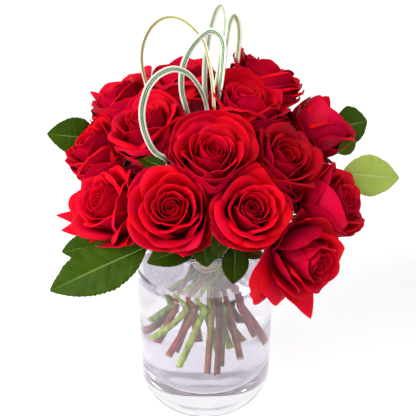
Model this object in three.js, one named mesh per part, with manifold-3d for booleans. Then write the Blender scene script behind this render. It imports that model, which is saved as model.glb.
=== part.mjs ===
// A bunch of red roses standing in a clear glass cylinder vase with water.
// Eighteen open blooms make a dome above the mouth; their stems are tied at a
// narrow neck inside the vase and fan out below it. Dark leaves hang under the
// blooms and five striped grass blades loop above the crown.
// Millimetres, +Z up. Origin: centre of the vase's foot, where it rests.
import * as THREE from 'three';
import { mergeVertices } from 'three/addons/utils/BufferGeometryUtils.js';
import Module from 'manifold-3d';

const wasm = await Module();
wasm.setup();

// ---- driving dimensions -------------------------------------------------
const VASE_RADIUS = 63.5;      // outside
const VASE_BORE = 58.0;        // inside
const VASE_HEIGHT = 200.0;
const HEEL_RADIUS = 28.0;      // big round at the foot
const FLOOR_Z = 40.0;          // top of the heavy base
const FLOOR_CORNER = 20.0;     // inside round between floor and wall
const LIP = 2.6;               // round of the rim
const WATER_Z = 158.0;         // water surface
const GAP = 0.35;              // clearance between touching pieces
const NECK = [1.0, -11.0];     // where the stems cross, plan position
const TIE_Z = [162.5, 171.5];
const TIE_INNER = 16.3;
const TIE_OUTER = 17.9;
const STEM_RADIUS = 2.4;
const BLOOM_HEIGHT = 1.3;      // receptacle to face, in bloom radii
const CELL_HEIGHT = 0.62;      // centre of a bloom's own space, in bloom radii
const PETIOLE = 0.9;           // half thickness of a leaf stalk
const BLADE = 0.45;            // half thickness of a leaf blade
const GRASS_HALF = 0.5;        // half thickness of a grass blade

// base: top of the receptacle; axis: the way the bloom faces
const ROSES = [
  { name: 'bloom_01', base: [-19.44, -59.58, 240.52], axis: [-0.1573, -0.6609, 0.7338], radius: 34 },
  { name: 'bloom_02', base: [29.57, -62.33, 239.85], axis: [0.2475, -0.6069, 0.7552], radius: 32 },
  { name: 'bloom_03', base: [4.57, -44.55, 266.99], axis: [0.0399, -0.3541, 0.9343], radius: 34 },
  { name: 'bloom_04', base: [50.66, -30.21, 257.56], axis: [0.4483, -0.2319, 0.8633], radius: 32 },
  { name: 'bloom_05', base: [-61.88, -32.96, 226.1], axis: [-0.6609, -0.3621, 0.6574], radius: 32 },
  { name: 'bloom_06', base: [-76.35, 0.71, 253.93], axis: [-0.6185, -0.0921, 0.7803], radius: 31 },
  { name: 'bloom_07', base: [-38.82, -5.58, 269.76], axis: [-0.3334, -0.0136, 0.9427], radius: 33 },
  { name: 'bloom_08', base: [-60.1, 37.84, 272.55], axis: [-0.4893, 0.2443, 0.8372], radius: 32 },
  { name: 'bloom_09', base: [-15.14, 43.78, 280.15], axis: [-0.1163, 0.367, 0.9229], radius: 34 },
  { name: 'bloom_10', base: [28.24, 8.24, 281.32], axis: [0.2257, 0.0978, 0.9693], radius: 31 },
  { name: 'bloom_11', base: [44.03, 45.78, 289.56], axis: [0.3024, 0.3419, 0.8898], radius: 32 },
  { name: 'bloom_12', base: [85.38, 28.03, 257.72], axis: [0.6388, 0.2396, 0.7311], radius: 32 },
  { name: 'bloom_13', base: [86.81, -33.76, 229.07], axis: [0.7829, -0.2462, 0.5714], radius: 32 },
  { name: 'bloom_14', base: [64.18, -62.59, 213.76], axis: [0.6689, -0.7297, 0.1419], radius: 31 },
  { name: 'bloom_15', base: [-59.45, 34.53, 225.35], axis: [-0.6168, 0.3998, 0.678], radius: 32 },
  { name: 'bloom_16', base: [-17.87, 69.73, 223.6], axis: [-0.1805, 0.7448, 0.6425], radius: 32 },
  { name: 'bloom_17', base: [37.28, 64.29, 223.92], axis: [0.3703, 0.6782, 0.6348], radius: 32 },
  { name: 'bloom_18', base: [68.31, 29.03, 212.86], axis: [0.852, 0.426, 0.3043], radius: 32 },
];

// each stem from its cut end up to the receptacle of the bloom of that number
const STEMS = [
  { name: 'stem_01', path: [[-3.5, 39.8, 50], [-4.3, 33.2, 65.1], [-5.2, 26.8, 79.8], [-6, 20.7, 93.6], [-7, 14.9, 106.4], [-8, 9.5, 118.4], [-9.2, 4.1, 129.9], [-10.5, -1.1, 140.7], [-11.4, -4.9, 148], [-11.7, -7.6, 153.1], [-11.8, -9.7, 157.5], [-11.6, -11.5, 161.8], [-11.2, -14, 168.5], [-11, -15.7, 173.2], [-11.1, -17.2, 176.8], [-11.5, -19.4, 181.7], [-12.2, -23, 189], [-13, -27.1, 196.4], [-13.8, -31.6, 203.8], [-14.7, -36.8, 211.6], [-15.8, -42.8, 220.1], [-16.9, -48.6, 227.8], [-17.8, -52.5, 232.7], [-19.4, -59.6, 240.5]] },
  { name: 'stem_02', path: [[-30.9, 6.5, 62], [-27.9, 3, 76.3], [-25.5, -0.1, 88.9], [-23.8, -3, 99.7], [-22.7, -5.3, 106.7], [-21.1, -8.9, 115], [-19.9, -11.7, 122.1], [-19.1, -13.3, 127.4], [-18, -14.3, 133.1], [-15.8, -15.3, 142.6], [-13.3, -16.2, 152.4], [-11.5, -16.7, 157.9], [-10, -17.2, 161.6], [-8.4, -18.5, 166.7], [-6.2, -20.6, 173.3], [-3.5, -23, 179.6], [0.4, -26.5, 187.4], [4.8, -30.8, 195.5], [9.7, -35.7, 203.8], [15.2, -41.6, 212.7], [21.2, -48.4, 222.1], [25.3, -53.5, 228.7], [27.1, -56.3, 232.4], [29.6, -62.3, 239.9]] },
  { name: 'stem_03', path: [[-17.2, 24.6, 44], [-15.4, 19.6, 60.1], [-13.6, 14.7, 75.7], [-11.8, 10.2, 90.5], [-10.1, 5.9, 104], [-8.5, 1.8, 116.7], [-6.8, -2.5, 129.8], [-5.8, -4.9, 137.1], [-5.3, -6.1, 141.3], [-4.8, -7.1, 145.1], [-4.3, -8, 149], [-4, -8.8, 152.8], [-3.7, -9.7, 156.7], [-3.5, -10.9, 161.6], [-3, -12.8, 168.8], [-2.1, -15.9, 180.1], [-1.1, -19.4, 192], [-0.2, -22.8, 203.5], [0.8, -26.4, 214.9], [1.8, -30.2, 226.6], [2.8, -34.4, 239.1], [3.7, -38.1, 249.8], [4.1, -40.4, 256.1], [4.6, -44.5, 267]] },
  { name: 'stem_04', path: [[-25, 0.4, 51], [-21.5, -2.6, 65.5], [-18.2, -5.5, 78.8], [-15, -8.4, 91.3], [-12, -11.4, 103.4], [-8.9, -14.8, 115.7], [-6.5, -17.5, 125.7], [-4.9, -19.2, 133], [-3.4, -20.3, 139.6], [-1.5, -21.2, 147.6], [1.1, -22, 157.6], [4, -22.8, 167.7], [6.6, -23.2, 175.9], [8.8, -23.6, 182.4], [11.8, -23.9, 189.9], [15.2, -24.2, 197.7], [19.2, -24.4, 205.5], [23.7, -24.7, 213.6], [29.1, -25.2, 222.3], [35.5, -25.8, 232.1], [41.2, -26.6, 240.8], [44.1, -27.2, 245.3], [46.2, -27.9, 249], [50.7, -30.2, 257.6]] },
  { name: 'stem_05', path: [[9, 15.6, 44], [7.3, 13.5, 57.5], [5.6, 11.5, 71], [3.8, 9.4, 84.4], [2.1, 7.4, 97.5], [0.4, 5.5, 110.1], [-1.4, 3.5, 122.3], [-3.2, 1.7, 133.1], [-4.5, 0, 140.7], [-5.9, -2.1, 147.9], [-7.5, -5.1, 157.1], [-8.9, -7.2, 164.7], [-10.3, -8.5, 169.9], [-11.4, -9.3, 173.1], [-13, -10, 176.1], [-15.6, -11.1, 180], [-19.9, -12.7, 185.7], [-25.1, -14.8, 191.7], [-30.5, -17.1, 197.5], [-36.5, -19.9, 203.2], [-43.4, -23.3, 209.3], [-51.3, -27.3, 216], [-56, -29.7, 220.2], [-61.9, -33, 226.1]] },
  { name: 'stem_06', path: [[19, 32.9, 50], [16.5, 29, 63.6], [14.1, 25.2, 77], [11.6, 21.5, 90], [9, 17.8, 102.5], [6.3, 14.2, 114.5], [3.4, 10.7, 126.2], [0.1, 6.9, 137.9], [-3.2, 3.1, 149.5], [-5.5, 0, 158.4], [-7.8, -2.2, 167.2], [-9.2, -3.4, 173], [-10.4, -3.8, 176.6], [-12.4, -3.7, 180.6], [-16.6, -3, 187.5], [-22.4, -2.1, 196.1], [-28.6, -1.3, 204.4], [-35.2, -0.6, 212.2], [-42.4, 0.1, 219.8], [-50.5, 0.8, 227.5], [-59.7, 1.6, 235.8], [-66.1, 1.9, 241.6], [-70, 1.6, 246], [-76.4, 0.7, 253.9]] },
  { name: 'stem_07', path: [[15.7, 6.3, 60], [13.5, 4.6, 74.9], [11.3, 2.8, 89.3], [9.1, 1.1, 103.4], [6.9, -0.6, 117.1], [4.8, -2.2, 130.1], [3, -3.4, 140.7], [1.6, -4.1, 148.6], [0, -4.8, 157.5], [-1.7, -5.3, 166.1], [-3.4, -5.7, 174.1], [-5.2, -6, 181.5], [-7.1, -6.2, 188.6], [-9.1, -6.4, 195.5], [-11.3, -6.4, 202.3], [-13.7, -6.4, 209.3], [-16.5, -6.4, 216.5], [-19.6, -6.3, 224.2], [-23.2, -6.1, 232.6], [-27.7, -5.8, 242.6], [-32.2, -5.5, 252.4], [-34.2, -5.5, 257], [-35.7, -5.5, 261], [-38.8, -5.6, 269.8]] },
  { name: 'stem_08', path: [[38.6, 10.4, 52], [34.4, 9.2, 68.7], [30.3, 8.1, 84.5], [26.8, 7.2, 97], [22.3, 6.1, 111.1], [17.5, 5.2, 125.2], [12.5, 4.4, 139.2], [9.4, 3.6, 147.7], [7.1, 2.2, 155], [5.4, 1, 160.5], [4.3, 0.8, 164.4], [3, 1, 168.5], [1.4, 1.6, 172.5], [-1.4, 3.1, 178.2], [-6.7, 5.7, 189.1], [-12.1, 8.3, 200], [-17.3, 11.1, 209.5], [-22.8, 14.4, 218.6], [-28.9, 18.2, 227.9], [-35.9, 22.8, 237.7], [-44.2, 28.5, 248.7], [-51, 33, 257.7], [-54.4, 35, 262.8], [-60.1, 37.8, 272.6]] },
  { name: 'stem_09', path: [[24.2, -6.8, 52], [21.9, -6.3, 69.3], [19.6, -5.7, 86], [17.3, -5.1, 102], [15.2, -4.2, 116.7], [13.4, -3.1, 130.1], [12.2, -2, 140.6], [11.8, -1.6, 147.9], [11.3, -1.8, 154.2], [10.4, -2.1, 159.1], [9.7, -1.9, 163.7], [8.7, -1.1, 170.2], [8.3, -0.1, 175.8], [8.1, 1.4, 182.2], [7.3, 2.9, 187.9], [5.5, 5.5, 196.6], [2.8, 9, 207], [-0, 13.2, 217.7], [-3.1, 18.1, 228.6], [-6.3, 23.9, 240.1], [-9.8, 30.7, 252.7], [-12.6, 36.6, 263.4], [-13.8, 39.5, 269.4], [-15.1, 43.8, 280.1]] },
  { name: 'stem_10', path: [[1.1, -18.8, 43.5], [1.9, -17.9, 61.8], [2.6, -16.9, 78.1], [3.3, -15.8, 92.8], [3.8, -14.5, 106.4], [4.1, -13.1, 119], [4.1, -12, 128.6], [3.7, -11, 138.9], [3.3, -10.6, 145.7], [2.8, -10.5, 153.4], [2.4, -10.6, 161.1], [2.4, -10.5, 166.1], [2.7, -10.4, 170.7], [3.2, -10.1, 175.7], [4.2, -9.6, 181.3], [6, -8.6, 190.3], [8.7, -7, 202], [11.5, -5, 213.8], [14.5, -2.5, 226.3], [17.9, 0.5, 240], [22.1, 4.3, 256], [24.4, 6.2, 265], [25.6, 7.1, 270.1], [28.2, 8.2, 281.3]] },
  { name: 'stem_11', path: [[8.5, -21.4, 43.5], [9, -20.2, 62.6], [9.4, -19, 80.6], [9.5, -17.9, 97.2], [9.4, -16.7, 112.7], [9.1, -15.3, 127.6], [8.7, -13.7, 141.2], [8.3, -12.6, 152.8], [8.2, -11.9, 160.1], [8.1, -10.7, 166.5], [8.2, -9.5, 171.7], [8.8, -8.3, 176.1], [10, -6.7, 182], [12.5, -3.7, 191.8], [15.3, -0.1, 202], [18.1, 4, 212], [21, 8.7, 221.9], [24.2, 14, 232.2], [27.8, 20.3, 243.1], [31.9, 27.7, 255.2], [36.5, 35.7, 267.8], [38.8, 39.4, 274.3], [40.5, 41.7, 279], [44, 45.8, 289.6]] },
  { name: 'stem_12', path: [[-39.1, -2, 69], [-30.3, -5.7, 85.1], [-22.6, -8.9, 99], [-18.4, -10.3, 107.1], [-12.6, -11.5, 119.5], [-7.4, -12.7, 129.9], [-2.3, -14.5, 139.5], [2.1, -16.3, 147.7], [4.8, -17.1, 153.5], [7.4, -17.6, 160.4], [9.5, -17.5, 165.7], [11.5, -16.9, 170.2], [13.8, -15.6, 175.1], [17.8, -13.6, 181.7], [23.9, -10.5, 191.1], [30, -7, 199.7], [36.2, -3.1, 207.7], [43, 1.5, 215.6], [50.7, 6.8, 223.6], [59.9, 13.3, 232.4], [70, 20.4, 241.6], [75.1, 23.7, 246.3], [78.5, 25.4, 249.8], [85.4, 28, 257.7]] },
  { name: 'stem_13', path: [[-37.3, 3.9, 88], [-31.8, 0.8, 99.9], [-26.5, -2.1, 110.8], [-22.1, -4.4, 119.1], [-17.7, -7.3, 126.4], [-12.3, -11.2, 134.8], [-8.1, -13.6, 141.2], [-4.5, -15, 147.3], [-1.2, -15.8, 154], [1.9, -16.4, 162.3], [5.1, -17, 170.1], [7.5, -17.5, 174.7], [10.1, -18.4, 178.1], [15.3, -20.3, 183.2], [22.7, -22.7, 189.7], [30.5, -24.6, 195.9], [38.9, -26, 202.1], [48.1, -27.1, 208.2], [58.3, -28.1, 214.5], [67, -28.9, 219.4], [72.1, -29.7, 221.6], [78, -31.1, 223.9], [81.8, -32.2, 225.5], [86.8, -33.8, 229.1]] },
  { name: 'stem_14', path: [[-38.1, 17.7, 60], [-33.8, 13.5, 72.6], [-29.6, 9.6, 84.7], [-25.6, 6, 96.6], [-21.5, 2.7, 108.6], [-17.4, -0.4, 120.7], [-14.6, -3, 129.8], [-12.3, -6.3, 138.2], [-9.5, -10.9, 147.8], [-6.4, -14.8, 155.9], [-3.1, -18.9, 164], [-0.8, -22.6, 171.7], [1.3, -25, 176.6], [4, -27.4, 180.6], [8, -29.8, 184.9], [14.6, -32.8, 190.5], [22.8, -36.3, 196.6], [32, -40.1, 202.6], [41.7, -44.3, 208.5], [45.8, -46.3, 210.7], [48.9, -48.3, 211.6], [53.4, -52, 212.2], [58.4, -56.5, 212.7], [64.2, -62.6, 213.8]] },
  { name: 'stem_15', path: [[23.3, 5.1, 90], [20.1, 4.2, 100], [17, 3.4, 109.7], [13.9, 2.8, 119.1], [10.8, 2.2, 128.2], [7.5, 1.9, 137.2], [4, 1.7, 146.3], [1.6, 1.6, 153.5], [-0.2, 1.6, 159.6], [-2, 1.3, 164.9], [-3.9, 0.6, 170.8], [-5.2, 0.4, 174.2], [-6.5, 0.7, 176.6], [-8.3, 1.8, 179.4], [-11.9, 4.5, 184.4], [-16.6, 7.9, 190.1], [-21.6, 11.2, 195.3], [-26.9, 14.5, 200.1], [-32.7, 18, 204.7], [-39.1, 21.9, 209.2], [-46.3, 26.3, 213.8], [-51.7, 29.6, 217.5], [-54.9, 31.6, 220.3], [-59.4, 34.5, 225.3]] },
  { name: 'stem_16', path: [[33.5, -0, 73], [30.3, -0.6, 85.9], [27.3, -1.2, 98.5], [24.4, -2, 110.6], [21.7, -3.1, 121.8], [19.1, -4.7, 132.3], [16.3, -6.2, 140.8], [12.9, -7.1, 147.9], [9.3, -7.1, 154.6], [6.6, -6.2, 160.9], [4.4, -5, 168.3], [3.5, -3.5, 174.1], [2.9, -1.3, 178.8], [2.1, 2.2, 183.1], [0.8, 7.8, 188.1], [-1.6, 15.9, 194.1], [-4.6, 25.2, 200.3], [-8, 35.2, 206.4], [-11.5, 45.5, 212.5], [-13.3, 51.1, 215.2], [-14.7, 56.7, 216.5], [-15.9, 61.6, 218.2], [-16.7, 65.1, 219.7], [-17.9, 69.7, 223.6]] },
  { name: 'stem_17', path: [[10.4, -7, 46], [10.6, -7.5, 60.7], [10.9, -8, 75.3], [11.2, -8.6, 89.6], [11.6, -9.2, 103.4], [12.4, -9.9, 116.5], [13.5, -11.1, 129.2], [14.4, -12.4, 140.8], [14.7, -12.6, 147.5], [14.4, -11.6, 153.1], [13.2, -8.5, 162.1], [12.3, -5.5, 170.7], [12.5, -3.8, 175.3], [13.6, -1.6, 178.9], [15.6, 3.3, 184.3], [18.2, 11.4, 191.4], [21, 20.7, 198.6], [23.8, 30.8, 205.6], [26.6, 40.9, 212.1], [28.2, 46, 214.6], [30.5, 51.2, 216], [32.9, 56, 217.9], [34.7, 59.6, 219.6], [37.3, 64.3, 223.9]] },
  { name: 'stem_18', path: [[-18.8, -8, 44], [-15.6, -9.1, 57.8], [-12.4, -10.1, 71.4], [-9.4, -11.3, 84.8], [-6.4, -12.7, 97.8], [-3.5, -14.4, 110.4], [-0.4, -16.3, 122.4], [3, -17.9, 133.1], [6.6, -18.9, 142.6], [9.4, -18.7, 149.4], [11.5, -17.2, 155.1], [13, -14.7, 162], [13.5, -11.7, 169.7], [13.8, -9.9, 174.5], [15.2, -8.4, 177.7], [18.8, -5.7, 182.4], [25.6, -0.9, 189.2], [33.1, 4.9, 196.1], [41, 11.6, 203.1], [45.9, 15.9, 207.2], [49.3, 18.5, 208.6], [55.6, 22.3, 209.6], [61.3, 25.5, 210.5], [68.3, 29, 212.9]] },
];

// start: on a stem; base and tip of the blade; face: the way the upper side looks
const LEAVES = [
  { name: 'leaf_left_upper', start: [-53.7, 30.8, 256.6], base: [-94.3, 22, 269], tip: [-134.3, 8, 282.4], halfWidth: 17, tilt: 10, bulge: 5, fold: 0.18, face: [0.157, -0.87, 0.467] },
  { name: 'leaf_left_middle', start: [-52.7, -29.6, 213.5], base: [-68.3, -44, 213], tip: [-123, -40, 193.5], halfWidth: 15, tilt: -20, bulge: 5, fold: 0.2, face: [0.134, -0.807, 0.574] },
  { name: 'leaf_left_lower', start: [-48, -29.4, 212.9], base: [-49, -58, 211.6], tip: [-129.5, -74, 177.9], halfWidth: 22, tilt: 8, bulge: 6, fold: 0.12, face: [0.128, -0.791, 0.598] },
  { name: 'leaf_front_left', start: [12.4, -44, 212.8], base: [-7.3, -66, 218.4], tip: [-47, -78, 210], halfWidth: 13, tilt: 25, bulge: 4, fold: 0.2, face: [0.043, -0.807, 0.589] },
  { name: 'leaf_front_centre', start: [-14.6, -51.6, 227.4], base: [-1.5, -74, 230], tip: [1.7, -84, 210.5], halfWidth: 12, tilt: 0, bulge: 3, fold: 0.22, face: [0.004, -0.808, 0.589] },
  { name: 'leaf_front_small', start: [22.7, -56, 228.2], base: [15.3, -76, 235.3], tip: [6.5, -84, 222.4], halfWidth: 7, tilt: 0, bulge: 2, fold: 0.25, face: [-0.012, -0.814, 0.581] },
  { name: 'leaf_front_right', start: [23.1, -54.4, 224.1], base: [24.3, -72, 222.7], tip: [22.8, -88, 196.3], halfWidth: 16, tilt: -15, bulge: 4, fold: 0.2, face: [-0.031, -0.8, 0.599] },
  { name: 'leaf_pale_right', start: [24.7, -50.4, 221], base: [48.9, -62, 206.4], tip: [25.5, -66, 210.3], halfWidth: 7, tilt: 40, bulge: 2, fold: 0.2, face: [-0.049, -0.807, 0.589] },
  { name: 'leaf_back_right', start: [72.9, 22.9, 239.9], base: [118.9, 56, 263], tip: [148.1, 64, 266], halfWidth: 17, tilt: 0, bulge: 4, fold: 0.15, face: [-0.166, -0.876, 0.454] },
  { name: 'leaf_right_small', start: [73.8, 18.8, 241.8], base: [116.3, 18, 258.3], tip: [132.3, 26, 267.8], halfWidth: 7, tilt: 20, bulge: 2, fold: 0.2, face: [-0.161, -0.865, 0.476] },
  { name: 'leaf_right_light', start: [70.9, 16.7, 239.5], base: [117.9, -2, 248.8], tip: [169.1, 4, 241.2], halfWidth: 18, tilt: -5, bulge: 4, fold: 0.12, face: [-0.188, -0.843, 0.504] },
  { name: 'leaf_between', start: [0.2, -39.2, 251.1], base: [-31.9, -58, 287.5], tip: [-54.6, -36, 284.9], halfWidth: 6, tilt: 30, bulge: 1, fold: 0.25, face: [0.068, -0.865, 0.498] },
  { name: 'leaf_back_first', start: [-18.4, 56.8, 215.9], base: [-51.7, 66.2, 214], tip: [-93.1, 93.5, 196], halfWidth: 19, tilt: 0, bulge: 8, fold: 0.15, face: [-0.369, 0.473, 0.8] },
  { name: 'leaf_back_second', start: [-10.6, 55, 215.4], base: [8.8, 83.5, 216], tip: [-2, 130, 200], halfWidth: 18, tilt: 0, bulge: 8, fold: 0.15, face: [0.063, 0.597, 0.8] },
  { name: 'leaf_back_third', start: [34.2, 50.8, 215.1], base: [61.9, 59.7, 214], tip: [84.6, 104, 196], halfWidth: 19, tilt: 0, bulge: 8, fold: 0.15, face: [0.432, 0.417, 0.8] },
];

const GRASS = [
  { name: 'grass_front_loop', width: 6, path: [[-3, -6, 254], [0, 4, 278], [1.7, 12, 301.1], [0, 8, 314.2], [-5.6, 0, 331.4], [-14.2, -8, 345.5], [-24.1, -14, 351.6], [-34.9, -20, 350], [-43.5, -24, 341.7], [-48.5, -28, 329], [-49.5, -32, 317.9], [-46.5, -38, 305.1], [-39.6, -42, 292.8], [-30.2, -42, 285.5], [-26, -34, 272], [-20, -26, 255]] },
  { name: 'grass_middle_loop', width: 5.5, path: [[-9, 1, 258], [-13, 3, 281], [-15, 4, 305.1], [-18.9, 8, 321.4], [-18.7, 11, 337.9], [-14.5, 12, 351.5], [-7.9, 13, 362.2], [-1.5, 14, 368.6], [4.9, 15, 371.6], [11.3, 15, 368.2], [14.6, 15, 360.6], [14.7, 15, 348.5], [13.2, 13, 329.9], [10, 11, 309], [9, 8, 284], [6, 2, 260]] },
  { name: 'grass_left_loop', width: 5, path: [[-34, 14, 262], [-41, 18, 284], [-46.7, 22, 307.4], [-50.1, 30, 318.5], [-53.1, 34, 333.2], [-52.7, 36, 346.7], [-48.9, 37, 358.7], [-42.7, 36, 368.6], [-34.2, 34, 375.3], [-25.1, 31, 377.3], [-15.3, 28, 374.2], [-6.4, 25, 366.8], [-0.8, 23, 359], [2.5, 20, 348.1], [5, 15, 336.2], [6.6, 7, 323.7], [7.5, 2, 311.6], [9, -3, 280], [6, -9, 258]] },
  { name: 'grass_tall_loop', width: 5.5, path: [[4, 21, 256], [3, 18, 279], [2.5, 16, 301], [-0, 24, 315.8], [-0, 30, 333.1], [1.7, 31, 350.5], [4.9, 31, 369.6], [9.8, 31, 384.8], [13, 31, 387.3], [15.4, 30, 383.5], [16.4, 29, 368.7], [14, 27, 352.2], [11.7, 25, 333.5], [8.4, 24, 313.9], [6.8, 25, 298.4], [6, 28, 281], [5, 31, 258]] },
  { name: 'grass_right_loop', width: 5, path: [[17, 33, 258], [16, 30, 280], [13.6, 26, 297.9], [14.4, 32, 313.9], [16, 37, 335.5], [18.4, 40, 355.7], [20.7, 42, 368.9], [24, 43, 374.5], [27.4, 45, 367.8], [28.6, 47, 354.7], [28.1, 49, 341.3], [26.7, 51, 325.8], [24.4, 53, 311.7], [25, 52, 290], [26, 48, 268]] },
];

// ---- helpers ------------------------------------------------------------
const V = (a) => new THREE.Vector3(a[0], a[1], a[2]);

function closed(geometry) {
  const g = geometry.clone();
  for (const k of Object.keys(g.attributes)) if (k !== 'position') g.deleteAttribute(k);
  g.morphAttributes = {};
  return mergeVertices(g, 1e-4);
}

function toSolid(geometry) {
  const g = closed(geometry);
  return new wasm.Manifold(new wasm.Mesh({
    numProp: 3,
    vertProperties: new Float32Array(g.attributes.position.array),
    triVerts: new Uint32Array(g.index.array),
  }));
}

function toGeometry(solid) {
  const m = solid.getMesh();
  const g = new THREE.BufferGeometry();
  const n = m.vertProperties.length / m.numProp;
  const p = new Float32Array(n * 3);
  for (let i = 0; i < n; i++) for (let k = 0; k < 3; k++) p[3 * i + k] = m.vertProperties[i * m.numProp + k];
  g.setAttribute('position', new THREE.BufferAttribute(p, 3));
  g.setIndex(new THREE.BufferAttribute(new Uint32Array(m.triVerts), 1));
  g.computeVertexNormals();
  return g;
}

function map(geometry, fn) {
  const g = closed(geometry);
  const p = g.attributes.position;
  const v = new THREE.Vector3();
  for (let i = 0; i < p.count; i++) {
    v.fromBufferAttribute(p, i);
    const q = fn(v);
    p.setXYZ(i, q.x, q.y, q.z);
  }
  g.computeVertexNormals();
  return g;
}

// keeps a solid's triangles facing out after a mapping that may mirror it
function faceOut(g) {
  const p = g.attributes.position;
  const ix = g.index.array;
  let vol = 0;
  const a = new THREE.Vector3(), b = new THREE.Vector3(), c = new THREE.Vector3();
  for (let i = 0; i < ix.length; i += 3) {
    a.fromBufferAttribute(p, ix[i]); b.fromBufferAttribute(p, ix[i + 1]); c.fromBufferAttribute(p, ix[i + 2]);
    vol += a.dot(b.clone().cross(c));
  }
  if (vol < 0) for (let i = 0; i < ix.length; i += 3) { const t = ix[i]; ix[i] = ix[i + 1]; ix[i + 1] = t; }
  g.computeVertexNormals();
  return g;
}

function lathe(profile, segments) {
  const g = new THREE.LatheGeometry(profile.map((q) => new THREE.Vector2(q[0], q[1])), segments);
  g.rotateX(Math.PI / 2);                       // the lathe's axis becomes +Z
  return faceOut(closed(g));
}

function arc(cx, cz, r, a0, a1, n) {
  const out = [];
  for (let i = 0; i <= n; i++) {
    const a = a0 + (a1 - a0) * i / n;
    out.push([cx + r * Math.cos(a), cz + r * Math.sin(a)]);
  }
  return out;
}

// frames that don't twist along a curve, with a chosen first side vector
function frames(curve, n, side) {
  const out = [];
  let s = side.clone();
  for (let i = 0; i <= n; i++) {
    const t = curve.getTangentAt(i / n).normalize();
    s = s.sub(t.clone().multiplyScalar(s.dot(t))).normalize();
    out.push({ p: curve.getPointAt(i / n), t, s: s.clone(), b: t.clone().cross(s) });
  }
  return out;
}

// ---- vase and water -----------------------------------------------------
function vaseSolid() {
  const R = VASE_RADIUS, r = VASE_BORE, h = VASE_HEIGHT;
  const lipR = (R - r) / 2;
  const profile = [
    [0, 0],
    ...arc(R - HEEL_RADIUS, HEEL_RADIUS, HEEL_RADIUS, -Math.PI / 2, 0, 6),
    [R, 110],
    ...arc(R - LIP, h - LIP, LIP, 0, Math.PI / 2, 2),
    ...arc(r + (R - r - LIP), h - (R - r - LIP), R - r - LIP, Math.PI / 2, Math.PI, 2),
    [r, 110],
    ...arc(r - FLOOR_CORNER, FLOOR_Z + FLOOR_CORNER, FLOOR_CORNER, 0, -Math.PI / 2, 5),
    [0, FLOOR_Z],
  ];
  return lathe(profile, 36);
}

function waterSolid() {
  const r = VASE_BORE - GAP - 0.2;
  const corner = FLOOR_CORNER - GAP;
  const floor = FLOOR_Z + GAP + 0.1;
  const body = toSolid(lathe([
    [0, floor],
    ...arc(r - corner, floor + corner, corner, -Math.PI / 2, 0, 5),
    [r, WATER_Z],
    [0, WATER_Z],
  ], 32));
  let out = body;
  for (const s of STEMS) out = out.subtract(toSolid(stemSolid(s, GAP + 0.1)));
  return toGeometry(out);
}

// ---- stems --------------------------------------------------------------
// A round stem that narrows to the flower stalk and widens to the receptacle.
function stemSolid(stem, grow) {
  const curve = new THREE.CatmullRomCurve3(stem.path.map(V), false, 'centripetal');
  const len = curve.getLength();
  const stops = [];
  const n = 14;
  for (let i = 0; i <= n; i++) stops.push((len - 16) * i / n);
  stops.push(len - 9, len - 6, len - 3.2, len - 1.2, len);
  const radius = (s) => {
    const d = len - s;
    if (d > 60) return STEM_RADIUS;
    if (d > 9) return STEM_RADIUS - 0.4 * (60 - d) / 51;
    const k = [[9, 2.0], [6, 3.0], [3.2, 4.8], [1.2, 5.0], [0, 4.2]];
    for (let i = 0; i < k.length - 1; i++) {
      if (d <= k[i][0] && d >= k[i + 1][0]) {
        const f = (k[i][0] - d) / (k[i][0] - k[i + 1][0]);
        return k[i][1] + (k[i + 1][1] - k[i][1]) * f;
      }
    }
    return 4.2;
  };
  const m = stops.length - 1;
  const frame = [];
  let side = new THREE.Vector3(1, 0.31, 0.05);
  for (let i = 0; i <= m; i++) {
    const u = Math.min(1, Math.max(0, stops[i] / len));
    const t = curve.getTangentAt(u).normalize();
    side = side.sub(t.clone().multiplyScalar(side.dot(t))).normalize();
    frame.push({ p: curve.getPointAt(u), t, s: side.clone(), b: t.clone().cross(side), r: radius(stops[i]) });
  }
  const tube = new THREE.CylinderGeometry(1, 1, m, 6, m, false);
  return faceOut(map(tube, (v) => {
    const i = Math.round(v.y + m / 2);
    const f = frame[i];
    const rr = Math.hypot(v.x, v.z) < 0.5 ? 0 : f.r + grow;
    const a = Math.atan2(v.z, v.x);
    const q = f.p.clone().addScaledVector(f.s, rr * Math.cos(a)).addScaledVector(f.b, rr * Math.sin(a));
    if (i === 0) q.addScaledVector(f.t, -grow);
    return q;
  }));
}

// ---- blooms -------------------------------------------------------------
const CELLS = ROSES.map((r) => V(r.base).addScaledVector(V(r.axis), r.radius * CELL_HEIGHT));

// Each bloom keeps to its own space between its neighbours: a point past the
// soft limit is drawn back towards the middle of the bloom.
function keepInCell(p, i) {
  const c = CELLS[i];
  let m = 0;
  for (let k = 0; k < ROSES.length; k++) {
    if (k === i) continue;
    const n = CELLS[k].clone().sub(c);
    const d = n.length();
    if (d > 100) continue;
    n.divideScalar(d);
    const lim = d * ROSES[i].radius / (ROSES[i].radius + ROSES[k].radius) - 0.45;
    m = Math.max(m, p.clone().sub(c).dot(n) / lim);
  }
  const soft = 0.82;
  if (m <= soft) return p;
  const to = soft + (1 - soft) * Math.tanh((m - soft) / (1 - soft));
  return c.clone().add(p.clone().sub(c).multiplyScalar(to / m));
}

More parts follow.
